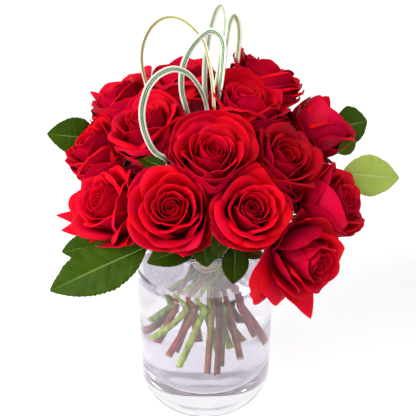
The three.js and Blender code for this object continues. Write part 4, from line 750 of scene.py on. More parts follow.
def petal_sheet(sp, rows=19, cols=21):
    """The middle surface of one petal in the bloom's own frame (x, y across, z along the axis)."""
    nf = 96
    u = np.linspace(0, 1, rows)
    idx = np.unique(np.round((1 - (1 - u) ** 1.4) * nf).astype(int))
    t = np.linspace(-1, 1, cols)
    t = np.sign(t) * np.abs(t) ** 0.88
    # centre line: a Bezier from the receptacle to the rim, as an angle over its length
    P0, P3 = np.array([sp["r0"], sp["z0"]]), np.array([sp["rr"], sp["h"]])
    D = np.linalg.norm(P3 - P0)
    d0 = np.array([math.sin(sp["a0"]), math.cos(sp["a0"])])
    d3 = np.array([math.sin(sp["a1"]), math.cos(sp["a1"])])
    k0 = np.clip((sp["rm"] * 1.08 - sp["r0"]) / max(0.05, d0[0] * D), 0.08, 0.62)
    P1, P2 = P0 + d0 * D * k0, P3 - d3 * D * 0.36
    q = np.linspace(0, 1, 90)[:, None]
    B = P0 * (1 - q) ** 3 + 3 * P1 * q * (1 - q) ** 2 + 3 * P2 * q ** 2 * (1 - q) + P3 * q ** 3
    seg = np.diff(B, axis=0)
    L = np.r_[0, np.cumsum(np.linalg.norm(seg, axis=1))]
    ang = np.unwrap(np.arctan2(seg[:, 0], seg[:, 1]))
    angL = (L[1:] + L[:-1]) / 2
    at = np.abs(t)
    ell = 1 - sp["round"] * at ** sp["power"] - sp["tip"] * at ** 1.1
    ell = ell + sp["ragged"] * np.sin(t * sp["rf"] + sp["ph"]) * (0.4 + 0.6 * at)
    roll = sp["roll"] + (sp["roll_side"] - sp["roll"]) * at ** 1.4
    arc_len = sp["rho"] * roll
    Lt = (L[-1] + sp["over"]) * ell
    F = np.linspace(0, 1, nf + 1)[:, None]
    l = F * Lt[None]
    th = np.interp(l.ravel(), angL, ang).reshape(l.shape)
    th = th + np.clip(l - (Lt - arc_len)[None], 0, None) / sp["rho"]
    dl = np.diff(l, axis=0)
    thm = (th[1:] + th[:-1]) / 2
    r = np.concatenate([np.zeros((1, cols)), np.cumsum(np.sin(thm) * dl, 0)]) + sp["r0"]
    z = np.concatenate([np.zeros((1, cols)), np.cumsum(np.cos(thm) * dl, 0)]) + sp["z0"]
    S = (F * np.ones((1, cols)))[idx]
    r, z, th = r[idx], z[idx], th[idx]
    T = np.repeat(t[None], len(idx), 0)
    g = 0.20 + 0.80 * np.sin(np.pi / 2 * np.minimum(1, S / 0.62)) ** 0.9 - sp["narrow"] * np.clip((S - 0.62) / 0.38, 0, 1) ** 2
    x = sp["W"] * T * g
    rho = np.maximum(r, 0.9) * sp["flat"]
    al = x / rho
    am = sp["wrap"]
    al = am * np.tanh(al / am)
    # outward offsets: edge reflex, waves, tuck of one edge under the next petal, midrib crease
    nx, nr = np.sin(al), np.cos(al)
    aT = np.abs(T)
    out = sp["reflex"] * sp["W"] * np.clip((aT - 0.45) / 0.55, 0, 1) ** 2 * S ** 1.6
    out = out + sp["tuck"] * T * (0.35 + 0.65 * S)
    out = out + sp["wave"] * S ** 3 * np.sin(T * sp["wf"] + sp["ph"]) + sp["wave"] * 0.5 * S ** 2 * np.sin(T * sp["wf"] * 1.9 + S * 3 + 2 * sp["ph"])
    out = out - sp["crease"] * np.exp(-(T / 0.16) ** 2) * S ** 1.5
    out = out + sp["crinkle"] * S ** 5 * (np.sin(T * 9.7 + 3 * sp["ph"]) + 0.7 * np.sin(T * 15.1 + 5 * sp["ph"]))
    # the offset is square to the sheet
    offr, offz = np.cos(th) * out, -np.sin(th) * out
    X = rho * nx + nx * offr
    Y = r - rho * (1 - nr) + nr * offr
    Z = z + offz
    # lean
    le = sp["lean"]
    Yc, Zc = sp["r0"], sp["z0"]
    Y, Z = Yc + (Y - Yc) * math.cos(le) + (Z - Zc) * math.sin(le), Zc + (Z - Zc) * math.cos(le) - (Y - Yc) * math.sin(le)
    c, s = math.cos(sp["phi"] - math.pi / 2), math.sin(sp["phi"] - math.pi / 2)
    P = np.stack([X * c - Y * s, X * s + Y * c, Z], -1)
    return P, S, T, x


def rose_petals(R, rng, openness, spin, count, heart_shift, hand=1, deep=0.0):
    """The petals of one bloom from the heart outwards, on the golden angle."""
    out = []
    k33 = R / 30.6
    X = [0, 0.15, 0.4, 0.66, 0.83, 1]
    o = openness
    for k in range(count):
        x = k / (count - 1)
        j = lambda a: 1 + rng.uniform(-a, a)
        tab = lambda ys: float(np.interp(x, X, ys))
        two = lambda shut, full: tab(shut) * (1 - o) + tab(full) * o
        roll = math.radians(two([4, 8, 14, 24, 34, 40], [4, 9, 18, 32, 42, 42])) * j(0.35)
        rho = tab([1.3, 1.7, 3.0, 6.0, 9.0, 11.0]) * k33 * j(0.2)
        sp = dict(
            phi=spin + hand * (k * 2.399963 + rng.uniform(-0.16, 0.16)),
            r0=(0.9 + 2.9 * x) * k33, z0=(2.6 - 1.6 * x) * k33, rm=tab([1.2, 4.0, 10.5, 18.0, 22.5, 25.0]) * k33 * j(0.03),
            rr=two([1.3, 3.3, 8.4, 14.5, 20.0, 25.5], [1.3, 3.3, 8.8, 16.5, 27.5, 36.0]) * k33 * j(0.07),
            h=(two([35.0, 38.0, 40.0, 39.5, 38.0, 35.0], [34.0, 36.5, 38.5, 38.0, 34.5, 28.0]) - deep * max(0.0, 1 - x / 0.6)) * k33 * j(0.04),
            a0=math.radians(tab([12, 32, 58, 70, 78, 84])),
            a1=math.radians(two([-9, -8, -4, 6, 14, 26], [-8, -6, 4, 26, 52, 74])) + rng.uniform(-0.08, 0.08),
            W=tab([5.0, 8.0, 13.5, 22.0, 30.0, 36.0]) * k33 * j(0.09), flat=tab([1.0, 1.0, 1.02, 1.08, 1.14, 1.2]),
            wrap=tab([2.5, 2.3, 1.9, 1.5, 1.35, 1.3]),
            round=tab([0.10, 0.13, 0.17, 0.22, 0.25, 0.27]), power=2.4, tip=tab([0.0, 0.02, 0.03, 0.05, 0.06, 0.07]) * j(0.5),
            narrow=0.12, roll=roll, roll_side=roll * 1.2 + math.radians(tab([0, 4, 9, 15, 20, 24])) * j(0.4),
            rho=rho, over=rho * roll * 0.8,
            reflex=tab([0, 0.0, 0.03, 0.07, 0.10, 0.12]) * j(0.5), tuck=hand * tab([0.5, 0.65, 0.9, 1.1, 1.2, 1.3]) * k33,
            wave=tab([0.05, 0.12, 0.4, 0.9, 1.5, 2.0]) * k33 * j(0.6), crinkle=tab([0.05, 0.10, 0.20, 0.32, 0.38, 0.38]), wf=rng.uniform(2.2, 3.8), ph=rng.uniform(0, 6.28),
            ragged=tab([0, 0.004, 0.008, 0.012, 0.014, 0.016]) * j(0.6), rf=rng.uniform(4, 9),
            crease=tab([0, 0.1, 0.35, 0.8, 1.0, 1.2]) * k33 * j(0.5),
            lean=rng.uniform(-0.03, 0.03) * (0.4 + x), layer=x, shift=heart_shift * max(0.0, 1 - x * 1.6), rnd=rng.random(),
        )
        out.append(sp)
    # guard petals, low down and wide, that fill in towards the neighbours, their tone kept low as painted shade down
    # between the blooms
    for g in range(6):
        j = lambda a: 1 + rng.uniform(-a, a)
        low = g % 2
        roll = math.radians(26) * j(0.5)
        rho = 10.0 * k33 * j(0.2)
        out.append(dict(
            phi=spin + g * math.pi / 3 + rng.uniform(-0.2, 0.2), r0=4.0 * k33, z0=0.6 * k33, rm=(26.0 + 2 * low) * k33,
            rr=((28 + 3 * low) * (1 - o) + (36 + 3 * low) * o) * k33 * j(0.05), h=((29 - 7 * low) * (1 - o) + (24 - 7 * low) * o) * k33 * j(0.05),
            a0=math.radians(86), a1=math.radians((30 + 20 * low) * (1 - o) + (74 + 14 * low) * o) + rng.uniform(-0.1, 0.1),
            W=31.0 * k33 * j(0.06), flat=1.15, wrap=1.3, round=0.24, power=2.4, tip=0.08 * j(0.6), narrow=0.10, roll=roll,
            roll_side=roll * 1.2 + math.radians(20) * j(0.4), rho=rho, over=rho * roll * 0.8, reflex=0.10 * j(0.5),
            tuck=hand * 1.2 * k33, crinkle=0.35, wave=1.8 * k33 * j(0.5), wf=rng.uniform(2.2, 3.8), ph=rng.uniform(0, 6.28),
            ragged=0.016 * j(0.6), rf=rng.uniform(4, 9), crease=1.2 * k33 * j(0.5), lean=rng.uniform(-0.03, 0.03),
            layer=1.0, shift=0.0, rnd=rng.random() * 0.6))
    return out


# per bloom: seed, openness, spin in degrees, petals, handedness
STYLE = {
    "bloom_01": (11, 0.80, 20, 34, 1), "bloom_02": (12, 0.62, 80, 33, -1), "bloom_03": (13, 0.75, 150, 34, 1),
    "bloom_04": (14, 0.55, 200, 32, 1), "bloom_05": (15, 0.75, 10, 33, -1), "bloom_06": (16, 0.60, 100, 31, 1),
    "bloom_07": (17, 0.85, 60, 33, -1), "bloom_08": (18, 0.80, 130, 31, 1), "bloom_09": (19, 0.80, 250, 33, 1),
    "bloom_10": (20, 0.60, 310, 33, -1), "bloom_11": (21, 0.85, 40, 31, 1), "bloom_12": (22, 0.30, 120, 30, 1),
    "bloom_13": (23, 0.50, 170, 31, -1), "bloom_14": (24, 0.70, 230, 31, 1), "bloom_15": (25, 0.75, 15, 30, 1),
    "bloom_16": (26, 0.70, 75, 30, -1), "bloom_17": (27, 0.75, 190, 30, 1), "bloom_18": (28, 0.65, 290, 30, 1),
}

# where the heart sits off the middle (right, away) and how deep it lies in its cup
HEART = {
    "bloom_01": (0, -1, 1.0), "bloom_02": (0, 1, 6.5), "bloom_03": (2, 6.5, 8.0), "bloom_04": (-3, 1, 9.0),
    "bloom_05": (-1, 0, 1.0), "bloom_10": (0, 1, 7.0), "bloom_14": (0, 0, 2.0), "bloom_13": (3, -2, 3.0),
}
# larger or smaller than its radius says
SIZE = {"bloom_14": 1.12, "bloom_05": 1.04, "bloom_02": 0.97}
# painted light and shade: blooms on the lit left made lighter, those in the middle and on the right and the deep hearts
# darker
PAINTED_LIGHT_AND_SHADE = {"bloom_03": -0.2, "bloom_13": -0.3, "bloom_04": -0.85, "bloom_05": 0.22, "bloom_07": 0.05, "bloom_09": -0.15, "bloom_10": -0.15, "bloom_12": -0.10}
# where the usual outer petals are left out for single ones: (degrees, half width, from which layer)
GAPS = {
    "bloom_12": [(0, 180, 0.84)], "bloom_13": [(215, 85, 0.76)], "bloom_14": [(0, 180, 0.74)], "bloom_09": [(90, 60, 0.8)],
    "bloom_05": [(230, 70, 0.9)],
}


def single(phi, rr, h, a1, W, **change):
    """One large outer petal, in mm and degrees: 0 right, 90 away, 180 left, 270 near."""
    sp = dict(
        phi=math.radians(phi), r0=4.0, z0=0.8, rm=min(24.0, rr * 0.9), rr=rr, h=h, a0=math.radians(84), a1=math.radians(a1), W=W, flat=1.3,
        wrap=1.2, round=0.22, power=2.5, tip=0.05, narrow=0.10, roll=math.radians(14), roll_side=math.radians(24), rho=9.0,
        over=1.5, reflex=0.06, tuck=0.8, wave=1.4, crinkle=0.35, wf=3.0, ph=phi * 0.37, ragged=0.02, rf=8.0, crease=0.8,
        lean=0.0, layer=1.0, shift=0.0, rnd=0.55, ease=1.03)
    sp.update(change)
    return sp


# single outer petals that stand out; their tone values are partly painted light and shade, a lit petal made lighter and
# petals lying in the shade of the blooms made darker
EXTRA = {
    "bloom_01": [single(135, 40, 33, 56, 34), single(60, 36, 33, 50, 32), single(-5, 46, 24, 72, 30, rnd=0.1), single(285, 42, 18, 95, 15, tip=0.35), single(282, 39, 29, 62, 13, tip=0.5, ease=1.35, rnd=0.6)],
    "bloom_02": [single(100, 36, 39, 24, 34), single(262, 34, 26, 64, 34), single(320, 36, 26, 66, 30), single(190, 34, 30, 56, 30)],
    "bloom_03": [single(195, 42, 27, 64, 36), single(265, 38, 26, 68, 42), single(87, 41, 44, 36, 40), single(118, 40, 42, 40, 32), single(60, 44, 40, 46, 32), single(115, 32, 45, 24, 34), single(60, 32, 43, 28, 32), single(155, 34, 38, 40, 32)],
    "bloom_04": [single(175, 28, 36, 34, 15, tip=0.15), single(150, 24, 39, 24, 13, tip=0.2), single(10, 36, 31, 58, 36), single(60, 32, 36, 40, 34),
                 single(290, 46, 10, 98, 26, rnd=0.4), single(265, 44, 16, 90, 24, rnd=0.5), single(340, 44, 12, 92, 32, ease=1.2, rnd=0.3)],
    "bloom_05": [single(172, 60, 32, 64, 16, tip=0.5, round=0.05, rnd=0.8), single(186, 57, 28, 70, 18, tip=0.45, round=0.05, rnd=0.8), single(160, 44, 34, 58, 24, tip=0.2, rnd=0.8), single(226, 40, 16, 86, 22, tip=0.5, ease=1.15), single(150, 44, 34, 50, 30),
                 single(272, 42, 18, 86, 36), single(305, 44, 14, 95, 30, tip=0.25), single(235, 42, 18, 84, 30), single(130, 40, 30, 60, 30, tip=0.2)],
    "bloom_06": [single(175, 38, 34, 50, 26, tip=0.25), single(205, 44, 22, 82, 24, tip=0.35), single(130, 32, 44, 30, 30), single(95, 28, 46, 18, 30), single(260, 38, 20, 82, 34)],
    "bloom_07": [single(80, 28, 43, 22, 30, rnd=1.1), single(84, 34, 45, 24, 34, ease=1.15), single(270, 38, 24, 70, 40), single(215, 40, 24, 74, 34), single(320, 36, 26, 66, 34)],
    "bloom_08": [single(126, 43, 46, 52, 12, tip=0.5, ragged=0.06, ease=1.3), single(140, 38, 35, 66, 12, tip=0.5, ragged=0.06, ease=1.3), single(180, 46, 30, 62, 22, tip=0.38, ragged=0.05), single(210, 46, 22, 80, 22, tip=0.35, ragged=0.05), single(110, 28, 44, 26, 30, tip=0.15), single(60, 30, 42, 30, 32), single(20, 36, 34, 50, 32, ease=1.2), single(30, 40, 40, 40, 34, ease=1.3)],
    "bloom_09": [single(90, 22, 52, 10, 32, ragged=0.05), single(50, 27, 48, 20, 28, ragged=0.06, tip=0.2), single(130, 30, 48, 22, 32, ragged=0.05),
                 single(268, 30, 31, 36, 42, rnd=-0.4), single(165, 48, 40, 46, 36, ragged=0.04, ease=1.15), single(8, 44, 40, 42, 36, ease=1.2), single(190, 46, 30, 66, 34, ragged=0.04, ease=1.15),
                 single(30, 34, 46, 26, 32), single(150, 36, 47, 28, 32, ragged=0.05), single(51, 52, 36, 62, 30, ease=1.1), single(14, 40, 20, 80, 34, ease=1.1),
                 single(195, 34, 42, 30, 26, ease=1.1), single(174, 42, 30, 60, 34, ease=1.1)],
    "bloom_10": [single(20, 44, 14, 90, 34, ease=1.3), single(126, 46, 38, 50, 30), single(153, 34, 30, 50, 30), single(195, 27, 24, 50, 30), single(97, 40, 46, 30, 34), single(95, 28, 52, 14, 34), single(55, 30, 48, 24, 30), single(135, 30, 48, 24, 30), single(262, 36, 24, 74, 40), single(330, 38, 28, 64, 32), single(80, 26, 42, 20, 32), single(352, 46, 20, 86, 28, rnd=0.1),
                 single(315, 46, 12, 95, 28, rnd=0.1)],
    "bloom_11": [single(8, 42, 36, 52, 22, tip=0.35, ragged=0.05), single(100, 24, 48, 14, 30, ragged=0.05), single(165, 28, 47, 16, 26, tip=0.15),
                 single(325, 42, 24, 78, 22, tip=0.25), single(50, 30, 44, 30, 28, ragged=0.06), single(180, 34, 38, 40, 30), single(183, 30, 47, 20, 14, tip=0.35), single(42, 46, 34, 60, 18, tip=0.4, ragged=0.06), single(290, 44, 16, 92, 30, rnd=0.1),
                 single(345, 46, 30, 66, 20, tip=0.35, ragged=0.06)],
    "bloom_12": [single(262, 22, 43, 8, 38, flat=1.15), single(205, 22, 45, 4, 34, flat=1.15), single(325, 31, 37, 62, 22, tip=0.15, roll=0.9),
                 single(300, 42, 18, 98, 11, tip=0.45), single(30, 30, 40, 40, 28), single(110, 22, 48, 6, 22, tip=0.3), single(129, 39, 43, 34, 12, tip=0.5, ease=1.2), single(165, 44, 18, 84, 34, ease=1.4), single(150, 31, 28, 50, 26), single(190, 36, 20, 74, 34, rnd=-0.1),
                 single(235, 36, 12, 92, 34, rnd=-0.3), single(180, 46, 14, 88, 36, ease=1.4, rnd=-0.1),
                 single(265, 44, 6, 100, 34, ease=1.5, rnd=-0.4), single(290, 40, 8, 96, 30, ease=1.3, rnd=-0.4)],
    "bloom_13": [single(222, 27, 41, 14, 46, rm=38.0, flat=1.15, round=0.30, rnd=1.05), single(262, 31, 31, 44, 36, rm=30.0, rnd=0.9),
                 single(345, 35, 34, 60, 20), single(305, 37, 28, 75, 22), single(150, 28, 38, 20, 34, rnd=0.5), single(190, 42, 12, 96, 34, rnd=0.5),
                 single(175, 46, 6, 98, 32, ease=1.4, rnd=0.2), single(222, 48, 2, 106, 32, ease=1.5, rnd=0.2), single(100, 42, 20, 80, 34, ease=1.2, rnd=0.2), single(90, 49, 17, 88, 32, ease=1.4, rnd=0.0)],
    "bloom_14": [single(219, 42, 13, 97, 27, round=0.08, narrow=0.0, tip=0.0, rnd=0.9, roll=0.08, crease=0.1, flat=1.9, power=4.0, ease=1.08),
                 single(183, 52, 12, 98, 33, round=0.06, narrow=-0.06, tip=0.0, ragged=0.035, rf=17.0, rnd=0.95, roll=0.08, crease=0.2, flat=1.9, power=4.0, ease=1.08),
                 single(277, 56, 28, 74, 26, tip=0.56, round=0.0, rnd=0.9, roll=0.08, ease=1.2),
                 single(98, 42, 17, 85, 32, ease=1.4, rnd=-0.3), single(118, 31, 16, 84, 20, rnd=-0.3),
                 single(315, 42, 24, 74, 32), single(350, 40, 28, 62, 34), single(40, 37, 32, 52, 32),
                 single(105, 27, 42, 10, 22, rnd=-0.5), single(215, 27, 34, 34, 26, rnd=0.5), single(262, 33, 30, 50, 30, rnd=0.5)],
}


def add_petal(b, i, sp, frame_axes, half=0.18):
    base, u, w, a = frame_axes
    P, S, T, x = petal_sheet(sp)
    sh = sp["shift"]
    if not np.isscalar(sh):
        P[..., :2] += sh * (P[..., 2:3] / (ROSES[i][3] * 1.1))
    W = base + P[..., :1] * u + P[..., 1:2] * w + P[..., 2:3] * a
    W = keep_in_cell(W, i, sp.get("ease", 1.0))
    th = half * (0.75 + 0.8 * (1 - S) ** 2)
    v, q = thick_grid(W, th)
    n = S.size
    # the normals must point to the inner face of the petal
    along = np.concatenate([S.ravel(), S.ravel()])
    nor = grid_normals(W).reshape(-1, 3)
    cen = base + a * (W.reshape(-1, 3) @ a - base @ a)[:, None]
    inward = float(((cen - W.reshape(-1, 3)) * nor).sum(-1).mean())
    back = np.concatenate([np.zeros(n), np.ones(n)]) if inward > 0 else np.concatenate([np.ones(n), np.zeros(n)])
    pc = np.stack([x.ravel(), S.ravel() * 46, np.full(n, sp["rnd"] * 50)], -1)
    b.add(v, q, floats={"along": along, "random": sp["rnd"], "back": back, "layer": sp["layer"]}, vectors={"petal": np.concatenate([pc, pc])})


def make_bloom(i):
    name, base, axis, R = ROSES[i]
    seed, openness, spin, count, hand = STYLE[name]
    rng = np.random.default_rng(seed)
    a = unit(axis)
    u = unit(np.cross([0, 0, 1.0], a))
    w = np.cross(a, u)
    axes = (np.array(base), u, w, a)
    # the bloom's own right and away, and their angle in its frame
    r_ = unit(RIGHT - a * (RIGHT @ a))
    turn = math.atan2(r_ @ w, r_ @ u)
    right, away, deep = HEART.get(name, (0, 0, 0.5))
    shift = rng.uniform(-1, 1, 2) * 1.4 + np.array([right * math.cos(turn) - away * math.sin(turn), right * math.sin(turn) + away * math.cos(turn)])
    b = Builder()
    for sp in rose_petals(R * SIZE.get(name, 1.0), rng, openness, math.radians(spin), count, shift, hand, deep):
        seen = math.degrees(sp["phi"] - turn)
        if any(abs((seen - g + 180) % 360 - 180) < half and sp["layer"] >= layer for g, half, layer in GAPS.get(name, [])):
            continue
        # painted light and shade: the bloom's tone moved lighter or darker for how the light falls on it
        sp["rnd"] += PAINTED_LIGHT_AND_SHADE.get(name, 0.0)
        sp["ease"] = 0.90 + 0.13 * rng.random()
        add_petal(b, i, sp, axes)
    for sp in EXTRA.get(name, []):
        sp["phi"] += turn
        # painted light and shade: the bloom's tone moved lighter or darker for how the light falls on it
        sp["rnd"] += PAINTED_LIGHT_AND_SHADE.get(name, 0.0)
        add_petal(b, i, sp, axes)
    ob = b.make("rose_" + name[-2:])
    return place(ob, PETAL, "petals", name)


# ---- stems ------------------------------------------------------------------
GREEN, LIME, RED, BROWN, DARK = (0.13, 0.26, 0.02), (0.30, 0.42, 0.035), (0.30, 0.028, 0.022), (0.28, 0.070, 0.026), (0.13, 0.026, 0.014)
SKIN = {
    1: (BROWN, GREEN), 2: (BROWN, GREEN), 3: (DARK, GREEN), 4: (RED, GREEN), 5: (GREEN, GREEN), 6: (BROWN, GREEN),
    7: (LIME, GREEN), 8: (RED, GREEN), 9: (BROWN, RED), 10: (BROWN, LIME), 11: (DARK, RED), 12: (LIME, GREEN),
    13: (GREEN, LIME), 14: (DARK, GREEN), 15: (DARK, RED), 16: (RED, GREEN), 17: (BROWN, GREEN), 18: (LIME, LIME),
}


def stem_radius(d):
    return np.where(d > 60, STEM_RADIUS, np.where(d > 9, STEM_RADIUS - 0.4 * (60 - d) / 51,
                    np.interp(d, [0, 1.2, 3.2, 6, 9], [4.2, 5.0, 4.8, 3.0, 2.0])))


def make_stem(k):
    name, path = STEMS[k]
    no = k + 1
    rng = np.random.default_rng(300 + no)
    p, s = smooth_curve(path, 2.0)
    total = s[-1]
    # finer steps under the bloom
    d = total - s
    keep = d > 14
    extra = np.linspace(14, 0, 15)[:-1]
    s2 = np.concatenate([s[keep], total - extra, [total]])
    p = np.stack([np.interp(s2, s, p[:, c]) for c in range(3)], -1)
    d = total - s2
    sides = 14
    r = stem_radius(d)
    f = value_noise(900 + no)
    wob = 1 + 0.045 * f(s2 * 0.11) + 0.02 * f(s2 * 0.6 + 9)
    # swollen nodes
    nodes = np.sort(rng.uniform(18, total - 40, rng.integers(3, 5)))
    for q in nodes:
        wob = wob + 0.14 * np.exp(-((s2 - q) / 2.6) ** 2)
    tie = np.clip((np.abs(p[:, 2] - 167) - 8) / 14, 0, 1)
    wob = 1 + (wob - 1) * tie
    r = r * np.where(d > 10, wob, 1.0)
    ang = np.arange(sides) * 2 * np.pi / sides
    rr = r[:, None] * (1 + 0.03 * np.sin(ang * 5 + no)[None] * np.ones((len(r), 1)))
    b = Builder()
    v, q, t, (tan, S, Bv, a) = tube(p, rr, sides, cap0=False)
    # the cut end slants, and shows pale wood with a paler core
    slope = math.tan(math.radians(rng.uniform(42, 56)))
    # most cuts look to the front
    toward = np.array([rng.uniform(-0.7, 0.7), -1.0, 0.35])
    turn = math.atan2(toward @ Bv[0], toward @ S[0])
    for row in range(3):
        lift = r[0] * slope * (1 + np.cos(a - turn)) * (1 - row / 3.0)
        lift = np.minimum(lift, 99)
        v[row * sides:(row + 1) * sides] += tan[0] * lift[:, None]
    ringv = v[:sides]
    c0 = ringv.mean(0)
    k0 = len(v)
    inner = c0 + (ringv - c0) * 0.86
    core = c0 + (ringv - c0) * 0.36 + tan[0] * 0.15
    v = np.concatenate([v, inner, core, c0[None] + tan[0] * 0.2])
    jj = np.arange(sides)
    jn = (jj + 1) % sides
    q = np.concatenate([q, np.stack([jj, k0 + jj, k0 + jn, jn], -1), np.stack([k0 + jj, k0 + sides + jj, k0 + sides + jn, k0 + jn], -1)])
    t = list(t) + [(k0 + 2 * sides, k0 + sides + jn[z], k0 + sides + z) for z in range(sides)]
    low, high = np.array(SKIN[no][0]), np.array(SKIN[no][1])
    mixf = np.clip((s2 - (0.12 if no in (6, 10, 17) else 0.25) * total) / ((0.2 if no in (6, 10, 17) else 0.5) * total) + 0.25 * f(s2 * 0.05 + 3), 0, 1)[:, None]
    skin = low * (1 - mixf) + high * mixf
    blush = np.clip(f(s2 * 0.09 + 20) * 1.5, 0, 1)[:, None] * 0.5
    skin = skin * (1 - blush) + np.array(RED) * blush
    calyx = np.clip((9 - d) / 4, 0, 1)[:, None]
    skin = skin * (1 - calyx) + np.array((0.07, 0.15, 0.03)) * calyx
    skin = np.repeat(skin, sides, 0)
    n_tail = len(v) - len(skin)
    cut = np.zeros(len(v))
    cut[k0:] = 1
    skin = np.concatenate([skin, np.repeat(low[None], n_tail, 0)])
    skin[k0 - 1] = (0.07, 0.15, 0.03)
    b.add(v, q, t, floats={"cut": cut}, colours={"skin": skin})
    # thorns
    where = []
    z = 14.0
    while z < total - 30:
        z += rng.uniform(9, 26)
        where.append(z)
    for z in where:
        i = int(np.argmin(np.abs(s2 - z)))
        if abs(p[i, 2] - 167) < 24 or i < 3 or d[i] < 24:
            continue
        if p[i, 2] < 150 and rng.random() < 0.45:
            continue
        th = rng.uniform(0, 6.28)
        size = rng.uniform(0.7, 1.15) * (0.75 if p[i, 2] < 150 else 1.0)
        out = S[i] * math.cos(th) + Bv[i] * math.sin(th)
        sideways = np.cross(tan[i], out)
        rows = []
        ns = 6
        for m in range(ns):
            h = m / (ns - 1)
            cx = p[i] + out * (r[i] * 0.72 + 3.6 * size * h) - tan[i] * (1.5 * size * h ** 2)
            wa, wb = 2.1 * size * (1 - h) ** 1.25 + 0.08, 0.95 * size * (1 - h) ** 1.1 + 0.06
            e = np.arange(8) * 2 * np.pi / 8
            rows.append(cx + tan[i] * (wa * np.cos(e))[:, None] + sideways * (wb * np.sin(e))[:, None])
        ring = np.array(rows).reshape(-1, 3)
        ii, j2 = np.meshgrid(np.arange(ns - 1), np.arange(8), indexing="ij")
        bq, cq = (ii * 8 + j2).ravel(), (ii * 8 + (j2 + 1) % 8).ravel()
        quads = np.stack([bq, bq + 8, cq + 8, cq], -1)
        kk = len(ring)
        ring = np.concatenate([ring, [np.array(rows[0]).mean(0)], [np.array(rows[-1]).mean(0)]])
        tr = [(kk, q2, (q2 + 1) % 8) for q2 in range(8)] + [(kk + 1, (ns - 1) * 8 + (q2 + 1) % 8, (ns - 1) * 8 + q2) for q2 in range(8)]
        tone = np.array((0.22, 0.06, 0.035)) if rng.random() < 0.6 else np.array((0.30, 0.22, 0.10))
        b.add(ring, quads, tr, floats={"cut": 0.0}, colours={"skin": np.repeat(tone[None], len(ring), 0)})
    # sepals, bent back under the open bloom
    a_ax = unit(ROSES[k][2])
    u = unit(np.cross([0, 0, 1.0], a_ax))
    w = np.cross(a_ax, u)
    base = np.array(ROSES[k][1])
    spin = rng.uniform(0, 6.28)
    for m in range(5):
        ph = spin + m * 2 * np.pi / 5 + rng.uniform(-0.15, 0.15)
        out = u * math.cos(ph) + w * math.sin(ph)
        side = np.cross(a_ax, out)
        length = rng.uniform(15, 21)
        bend = rng.uniform(0.5, 1.5)
        nv, nu = 16, 7
        vv = np.linspace(0, 1, nv)
        th = math.radians(86) + bend * vv ** 1.1
        dl = length / (nv - 1)
        rad = 4.2 + np.r_[0, np.cumsum(np.sin((th[1:] + th[:-1]) / 2) * dl)]
        ht = -1.9 + np.r_[0, np.cumsum(np.cos((th[1:] + th[:-1]) / 2) * dl)]
        half = 2.9 * (1 - vv) ** 0.8 * (0.75 + 0.5 * np.sin(np.pi * np.minimum(1, vv * 1.6))) + 0.12
        uu = np.linspace(-1, 1, nu)
        cup = 0.25 * half[:, None] * uu[None] ** 2
        G = (base + out * rad[:, None])[:, None] + a_ax * (ht[:, None] + cup)[..., None] + side * (half[:, None] * uu[None])[..., None]
        vg, qg = thick_grid(G, 0.22)
        tone = np.array((0.075, 0.17, 0.035)) * rng.uniform(0.8, 1.3)
        b.add(vg, qg, floats={"cut": 0.0}, colours={"skin": np.repeat(tone[None], len(vg), 0)})
    ob = b.make("rose_" + name)
    return place(ob, STEM, "stems", name)


# ---- leaves -----------------------------------------------------------------
LEAF_TINT = {"leaf_right_light": 0.85, "leaf_pale_right": 0.45, "leaf_right_small": 0.05, "leaf_front_small": 0.08}


# painted shade: the front leaves, under the blooms that hang over them, and the leaf between the blooms are darkened
LEAF_PAINTED_SHADE = {"leaf_front_left": 0.66, "leaf_front_centre": 0.62, "leaf_front_small": 0.62, "leaf_front_right": 0.60, "leaf_between": 0.50}


